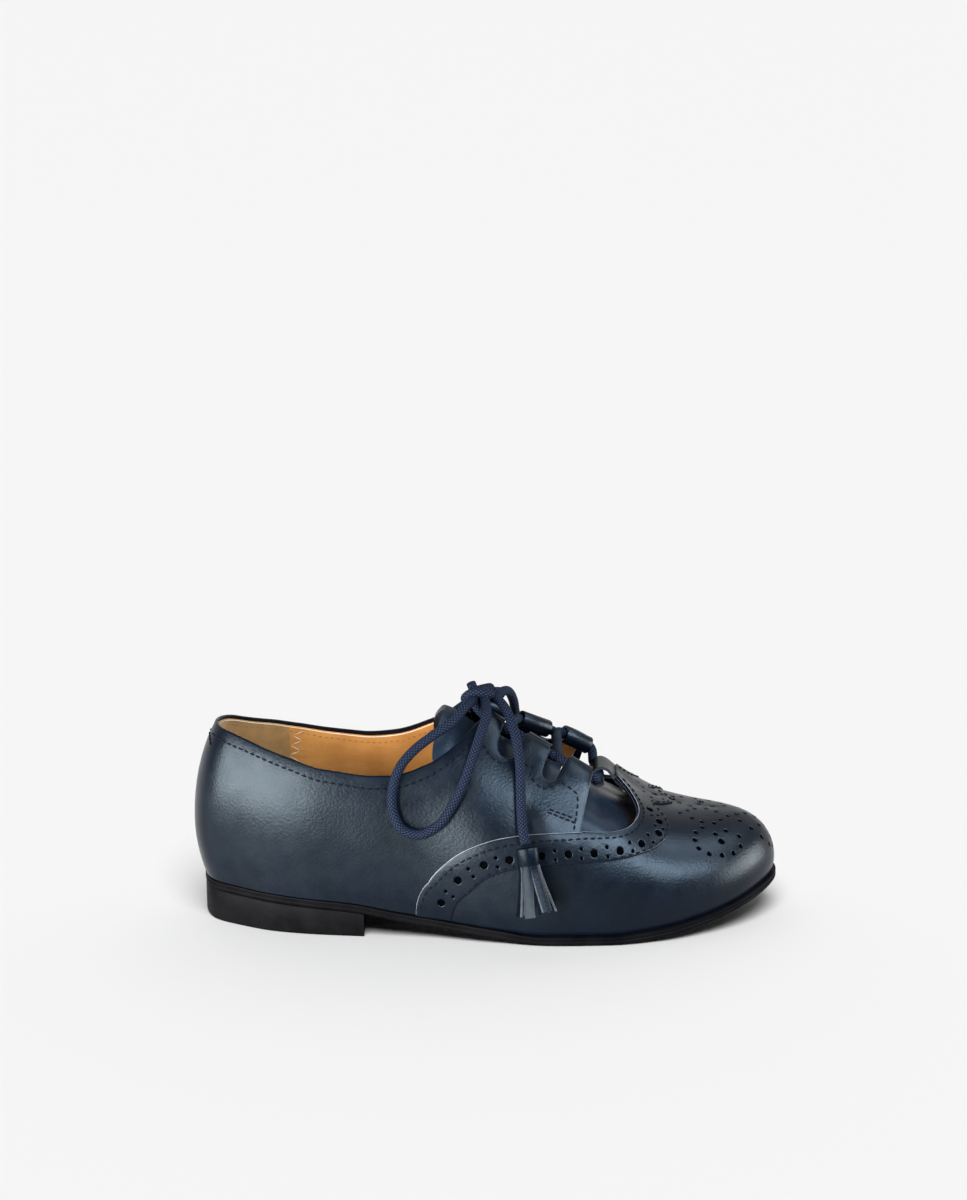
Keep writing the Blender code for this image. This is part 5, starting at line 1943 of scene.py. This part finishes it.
def sole_edges(turns, inset):
    """Lateral and medial edge of the sole in plan at turns, moved in by an inset."""
    full = np.linspace(0, math.pi, OUTLINE_STEPS)
    x = sole_at(full)
    lateral = np.stack([x, sole_edge_y(full, LATERAL)], -1)
    medial = np.stack([x, sole_edge_y(full, MEDIAL)], -1)
    loop = np.concatenate([lateral, medial[-2:0:-1]])
    moved = offset_ring(loop, inset)
    count = len(full)
    far = np.concatenate([moved[:1], moved[:count - 2:-1]])
    pick = nearest(turns / math.pi, count)
    return moved[:count][pick], far[pick]


def sole_body(rings):
    """A closed body from (lateral places, medial places) rings, stacked from bottom to top."""
    columns = [lateral for lateral, _ in rings] + [medial for _, medial in reversed(rings)]
    stack = np.array(columns + [columns[0]])

    def shape(u, v):
        return stack[nearest(u, stack.shape[0]), nearest(v, stack.shape[1])]

    bm = shaped_grid(stack.shape[0] - 1, stack.shape[1] - 1, shape)
    close_up(bm, 0.004)
    return bm


def with_height(plan, height):
    return np.column_stack([plan, height])


def outsole():
    turns = np.linspace(0, math.pi, SOLE_STEPS)
    height = feather_z(sole_at(turns))
    rings = []
    for inset, drop in SOLE_PROFILE:
        lateral, medial = sole_edges(turns, inset)
        rings.append((with_height(lateral, height + drop), with_height(medial, height + drop)))
    return finish_piece(sole_body(rings), "sole", [BLACK], "black_sole", ["outsole"], sharp=50.0)


def heel():
    last_turn = float(np.arccos(1 - 2 * (HEEL_BREAST - SOLE_BACK) / (SOLE_TIP - SOLE_BACK)))
    turns = np.linspace(0, last_turn, HEEL_STEPS)
    top = feather_z(sole_at(turns)) - SOLE_DROP
    rings = []
    for inset, share in HEEL_PROFILE:
        lateral, medial = sole_edges(turns, inset)
        rings.append((with_height(lateral, top * share), with_height(medial, top * share)))
    return finish_piece(sole_body(rings), "heel_block", [BLACK], "black_sole", ["heel"])


def insole():
    turns = np.linspace(0, math.pi, SOCK_STEPS)
    rings = []
    for inset, rise in SOCK_PROFILE:
        sides = []
        for side in (LATERAL, MEDIAL):
            edge = skin(turns, side, SOCK_SHARE, -WALL - SOCK_CLEAR - inset)
            sides.append(with_height(edge[:, :2], feather_z(edge[:, 0]) + WALL + GAP + rise))
        rings.append(tuple(sides))
    return finish_piece(sole_body(rings), "sock", [TAN], "tan_lining", ["insole"])


outsole()
heel()
insole()

# %% [markdown]
# ## Tassels
# Each end of the lace carries a leather tassel: a strip rolled into a head, cut below into a fringe. The head
# is a turned profile, and every strip of the fringe is a small bent slab, so that the strips can spread and
# end at slightly different heights as cut leather does.

# %% Tassels
TASSEL_HEAD, TASSEL_LENGTH = 6.8, 21.4
TASSEL_TOP_HALF, TASSEL_FOOT_HALF = 3.55, 6.3
TASSEL_FLAT = 0.8
# Where the foot hangs: place along the shoe, share, distance from the leather
TASSEL_FOOT = (112.0, 0.19, 7.6)
# Profile of the head: run from its top or its foot, distance in from its full radius
HEAD_TOP = ((0.25, 2.85), (0.0, 1.95), (0.0, 0.5), (0.12, 0.12), (0.5, 0.0))
HEAD_FOOT = ((0.4, 0.0), (0.0, 0.35), (0.0, 2.85))
STRIPS = 6
STRIP_THICK = 0.75
STRIP_HALF = 1.72
STRIP_START = 1.2
LAYER_STEP = 1.0
# Length of a strip inside the head, the step between their lengths, and how much shorter the inner ones are
STRIP_ROOT, STRIP_SHORTER, LAYER_SHORTER = 1.2, 0.55, 0.4
# Largest twist of a strip, how flat it gets at the foot, and how its spread grows
STRIP_TWIST, STRIP_FLATTER, SPREAD_POWER = 0.22, 0.7, 1.15


def tassel_axes(side):
    """Top of a tassel, and its directions down, across and outward."""
    top = end_route(side)[-1]
    station, share, away = TASSEL_FOOT
    foot = skin(turn_at(station), float(side), share, away)
    down = unit(foot - top)
    across = unit(np.cross(down, (0.0, 1.0, 0.0)))
    return top + down, down, across, np.cross(across, down)


def tassel_head(side):
    top, down, _, outward = tassel_axes(side)
    profile = [(run, TASSEL_TOP_HALF - inset) for run, inset in HEAD_TOP]
    profile += [(TASSEL_HEAD - run, TASSEL_TOP_HALF - inset) for run, inset in HEAD_FOOT]
    bm = turned(profile, top, down, steps=36)
    for vert in bm.verts:
        place = np.array(vert.co)
        vert.co = place - outward * (((place - top) @ outward) * (1 - TASSEL_FLAT))
    return bm


def strip(side, number, layer):
    """One strip of the fringe. Layer 0 goes on from the skin of the head, layer 1 lies inside."""
    top, down, across, outward = tassel_axes(side)
    angle = STRIP_START + 2 * math.pi * (number + layer / 2) / STRIPS
    length = TASSEL_LENGTH - STRIP_SHORTER * (number * 5 % 3) - LAYER_SHORTER * layer
    radial = across * math.cos(angle) + outward * math.sin(angle) * TASSEL_FLAT
    tangent = unit(-across * math.sin(angle) + outward * math.cos(angle) * TASSEL_FLAT)
    twist = STRIP_TWIST * math.sin(number * 2.4)

    def face(u, v, lift):
        root = TASSEL_HEAD - STRIP_ROOT
        run = root + (length - root) * v
        spread = ramp(run, TASSEL_HEAD, TASSEL_LENGTH)
        aside = STRIP_HALF * (2 * u - 1)
        curve = (TASSEL_TOP_HALF - np.sqrt(TASSEL_TOP_HALF**2 - aside**2)) * (1 - STRIP_FLATTER * spread)
        half = TASSEL_TOP_HALF + (TASSEL_FOOT_HALF - TASSEL_TOP_HALF) * spread**SPREAD_POWER
        half += lift - curve + aside * twist * spread - layer * LAYER_STEP
        return top + down * run[:, None] + radial * half[:, None] + tangent * aside[:, None]

    return slab(6, 14, face, STRIP_THICK)


def tassel(side, side_name):
    bm = tassel_head(side)
    for layer in (0, 1):
        for number in range(STRIPS):
            add_to(bm, strip(side, number, layer))
    name = f"tassel_{side_name}"
    return finish_piece(bm, f"{name}_leather", [TASSEL_NAVY, EDGE_HIGHLIGHT], "navy_leather", [name])


tassels = {side: tassel(side, side_name) for side, side_name in SIDES}

# %% [markdown]
# ## Stitching
# The seams are rows of small stitches sunk into the leather. One stitch is a squashed sphere of two dozen
# faces, and the sphere operator takes a matrix, so each row is a loop that places it along a line of spots,
# turned with the line and with the leather.

# %% Rows of stitches
STITCH_PITCH, STITCH_LONG, STITCH_WIDE = 2.35, 1.85, 0.74
# Distances of the rows from their edges
COLLAR_STITCH, WING_STITCH, GIMP_STITCH = 2.0, 1.5, 0.55
# Pitch, length and width of the row along the gimped edge, and the pitches of the short tacks
GIMP_SIZES = (2.7, 1.8, 0.72)
BAR_PITCH, BACK_PITCH = 2.0, 1.9
# Width of a stitch over half its height, half the stretch that gives its direction, and its lift
STITCH_FLAT, STITCH_REACH, STITCH_LIFT = 2.6, 0.3, 0.05
# Stations between which the collar is stitched
COLLAR_SPAN = (1.0, 86.5)
LINE_SPACING = 0.6
# Stitch line below the tabs and down the front edge: place along the shoe, share
QUARTER_STITCH = (
    (88.6, 0.70),
    (92.4, 0.688),
    (94.1, 0.665),
    (98.3, 0.654),
    (102.3, 0.689),
    (105.8, 0.689),
    (109.0, 0.69),
    (108.1, 0.652),
    (110.2, 0.63),
    (113.0, 0.622),
    (116.4, 0.647),
    (118.5, 0.675),
    (122.0, 0.66),
    (124.4, 0.645),
    (124.6, 0.613),
    (123.7, 0.549),
    (122.9, 0.503),
)
BAR_TACKS = (((114.7, 0.555), (122.7, 0.546)), ((114.0, 0.543), (123.0, 0.53)))
BACK_TACK = ((2.2, 0.50), (0.31, 0.53))


def stitch_row(bm, spots, surface, lift, pitch=STITCH_PITCH, long=STITCH_LONG, wide=STITCH_WIDE):
    """Stitches at an even pitch along a line of spots."""
    places = surface(spots, lift)
    runs = np.concatenate([[0], np.cumsum(np.linalg.norm(np.diff(places, axis=0), axis=1))])
    marks = np.arange(pitch / 2, runs[-1], pitch)
    at = np.stack([np.interp(marks, runs, spots[:, k]) for k in (0, 1)], -1)
    ahead = np.stack([np.interp(marks + STITCH_REACH, runs, places[:, k]) for k in (0, 1, 2)], -1)
    behind = np.stack([np.interp(marks - STITCH_REACH, runs, places[:, k]) for k in (0, 1, 2)], -1)
    middles = surface(at, lift)
    ways = unit(ahead - behind)
    normals = facing(at, surface)
    sides = unit(np.cross(normals, ways))
    for place, way, side, normal in zip(middles, ways, sides, normals):
        matrix = Matrix.Identity(4)
        for k, axis in enumerate((way * long / 2, side * wide / 2, normal * wide / STITCH_FLAT)):
            for row in range(3):
                matrix[row][k] = axis[row]
        matrix.translation = place
        bmesh.ops.create_uvsphere(bm, u_segments=6, v_segments=4, radius=1.0, matrix=matrix)


def top_part(side, tabs, span):
    """The stretch of an upper edge between two stations."""
    line = top_line(side, tabs)
    return spots_from(line[(line[:, 0] > span[0]) & (line[:, 0] < span[1])], side)


def fine(rows, side):
    return spots_from(flowing(rows, FINE_SPACING), side)


def quarter_stitches():
    bm = bmesh.new()
    for side, _ in SIDES:
        collar = top_part(side, TABS, COLLAR_SPAN)
        below_tabs = spots_from(divided(np.array(QUARTER_STITCH), LINE_SPACING), side)
        stitch_row(bm, moved_line(collar, side * COLLAR_STITCH), on_quarter, STITCH_LIFT)
        stitch_row(bm, below_tabs, on_quarter, STITCH_LIFT)
        for tack in BAR_TACKS:
            stitch_row(bm, fine(tack, side), on_quarter, STITCH_LIFT, BAR_PITCH)
        stitch_row(bm, fine(BACK_TACK, side), on_quarter, STITCH_LIFT, BACK_PITCH)
    return finish_piece(bm, "quarter_stitches", [THREAD], "navy_leather")


def wing_stitches():
    bm = bmesh.new()
    for side, _ in SIDES:
        rear = fine(np.concatenate([WING_TOP, WING_THROAT[1:]]), side)
        front = fine(np.concatenate([WING_FRONT, WING_LOBE[1:-1]]), side)
        stitch_row(bm, moved_line(rear[8:], side * WING_STITCH), on_wing, WING_HIGH + STITCH_LIFT)
        stitch_row(bm, moved_line(front[4:], side * -GIMP_STITCH), on_wing, WING_HIGH, *GIMP_SIZES)
    return finish_piece(bm, "wing_stitches", [THREAD], "navy_leather")


quarter_stitches()
wing_stitches()

# %% Stitches inside
LINING_STITCH, LINING_SPAN, LINING_SIZES = 1.5, (3.0, 90.0), (2.0, 1.0, 0.4)
INSIDE_LIFT = -0.03
# The zigzag: shares at its top and foot, step in share, half its width. Then the part of a step that its
# thread covers, and the width of the thread
ZIGZAG_TOP, ZIGZAG_FOOT, ZIGZAG_STEP, ZIGZAG_HALF = 0.47, 0.12, 0.021, 1.9
ZIGZAG_LONG, ZIGZAG_WIDE = 0.98, 0.34


def lining_stitches():
    bm = bmesh.new()
    for side, _ in SIDES:
        edge = moved_line(top_part(side, LINING_TABS, LINING_SPAN), side * LINING_STITCH)
        stitch_row(bm, edge, on_quarter, INSIDE_LIFT - WALL, *LINING_SIZES)
    return finish_piece(bm, "lining_stitches", [BROWN_THREAD], "tan_lining")


def zigzag_seam():
    """The zigzag that joins the suede heel to the smooth front of the lining."""
    bm = bmesh.new()
    for side, _ in SIDES:
        shares = np.arange(ZIGZAG_TOP, ZIGZAG_FOOT, -ZIGZAG_STEP)
        swing = np.where(np.arange(len(shares)) % 2 == 0, ZIGZAG_HALF, -ZIGZAG_HALF)
        corners = spots_from(np.stack([SEAM_STATION + swing, shares], -1), side)
        for a, b in zip(corners, corners[1:]):
            pair = np.array([a, b])
            length = float(np.linalg.norm(np.diff(on_quarter(pair, -WALL), axis=0)))
            sizes = (length, length * ZIGZAG_LONG, ZIGZAG_WIDE)
            stitch_row(bm, pair, on_quarter, INSIDE_LIFT - WALL, *sizes)
    return finish_piece(bm, "zigzag_seam", [PALE_THREAD], "tan_lining")


lining_stitches()
zigzag_seam()

# %% [markdown]
# ## Which cords are free
# The bow loops and the two ends hang free, so the scene says how long and how thick they are. A loop goes
# back into the knot, which is listed with the outer one, and an end finishes in its tassel.

# %% Free cords
for side, side_name in SIDES:
    for kind in ("bow", "end"):
        line = metres(lace_lines[kind, side])
        length = float(np.linalg.norm(np.diff(line, axis=0), axis=1).sum())
        is_end = kind == "end"
        carried = [tassels[side]] if is_end else [knot_piece] if side == LATERAL else []
        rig.cord(
            lace_pieces[kind, side], line[0], length, LACE * MM, "fitting" if is_end else "object",
            stiffness="limp", lay="hanging", path=line, with_pieces=carried,
        )
        print(kind, side_name, "is", round(length / MM), "mm long")

# %% [markdown]
# ## Size of the dressed shoe
# Last, the box round the finished pieces is written down beside the box of the solids.

# %% Measurements
VISUAL_BOX = [[float(value) for value in corner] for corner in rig.bounds()]
with open("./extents.json", "w") as sizes:
    json.dump({"cad": CAD_BOX, "visual": VISUAL_BOX}, sizes)
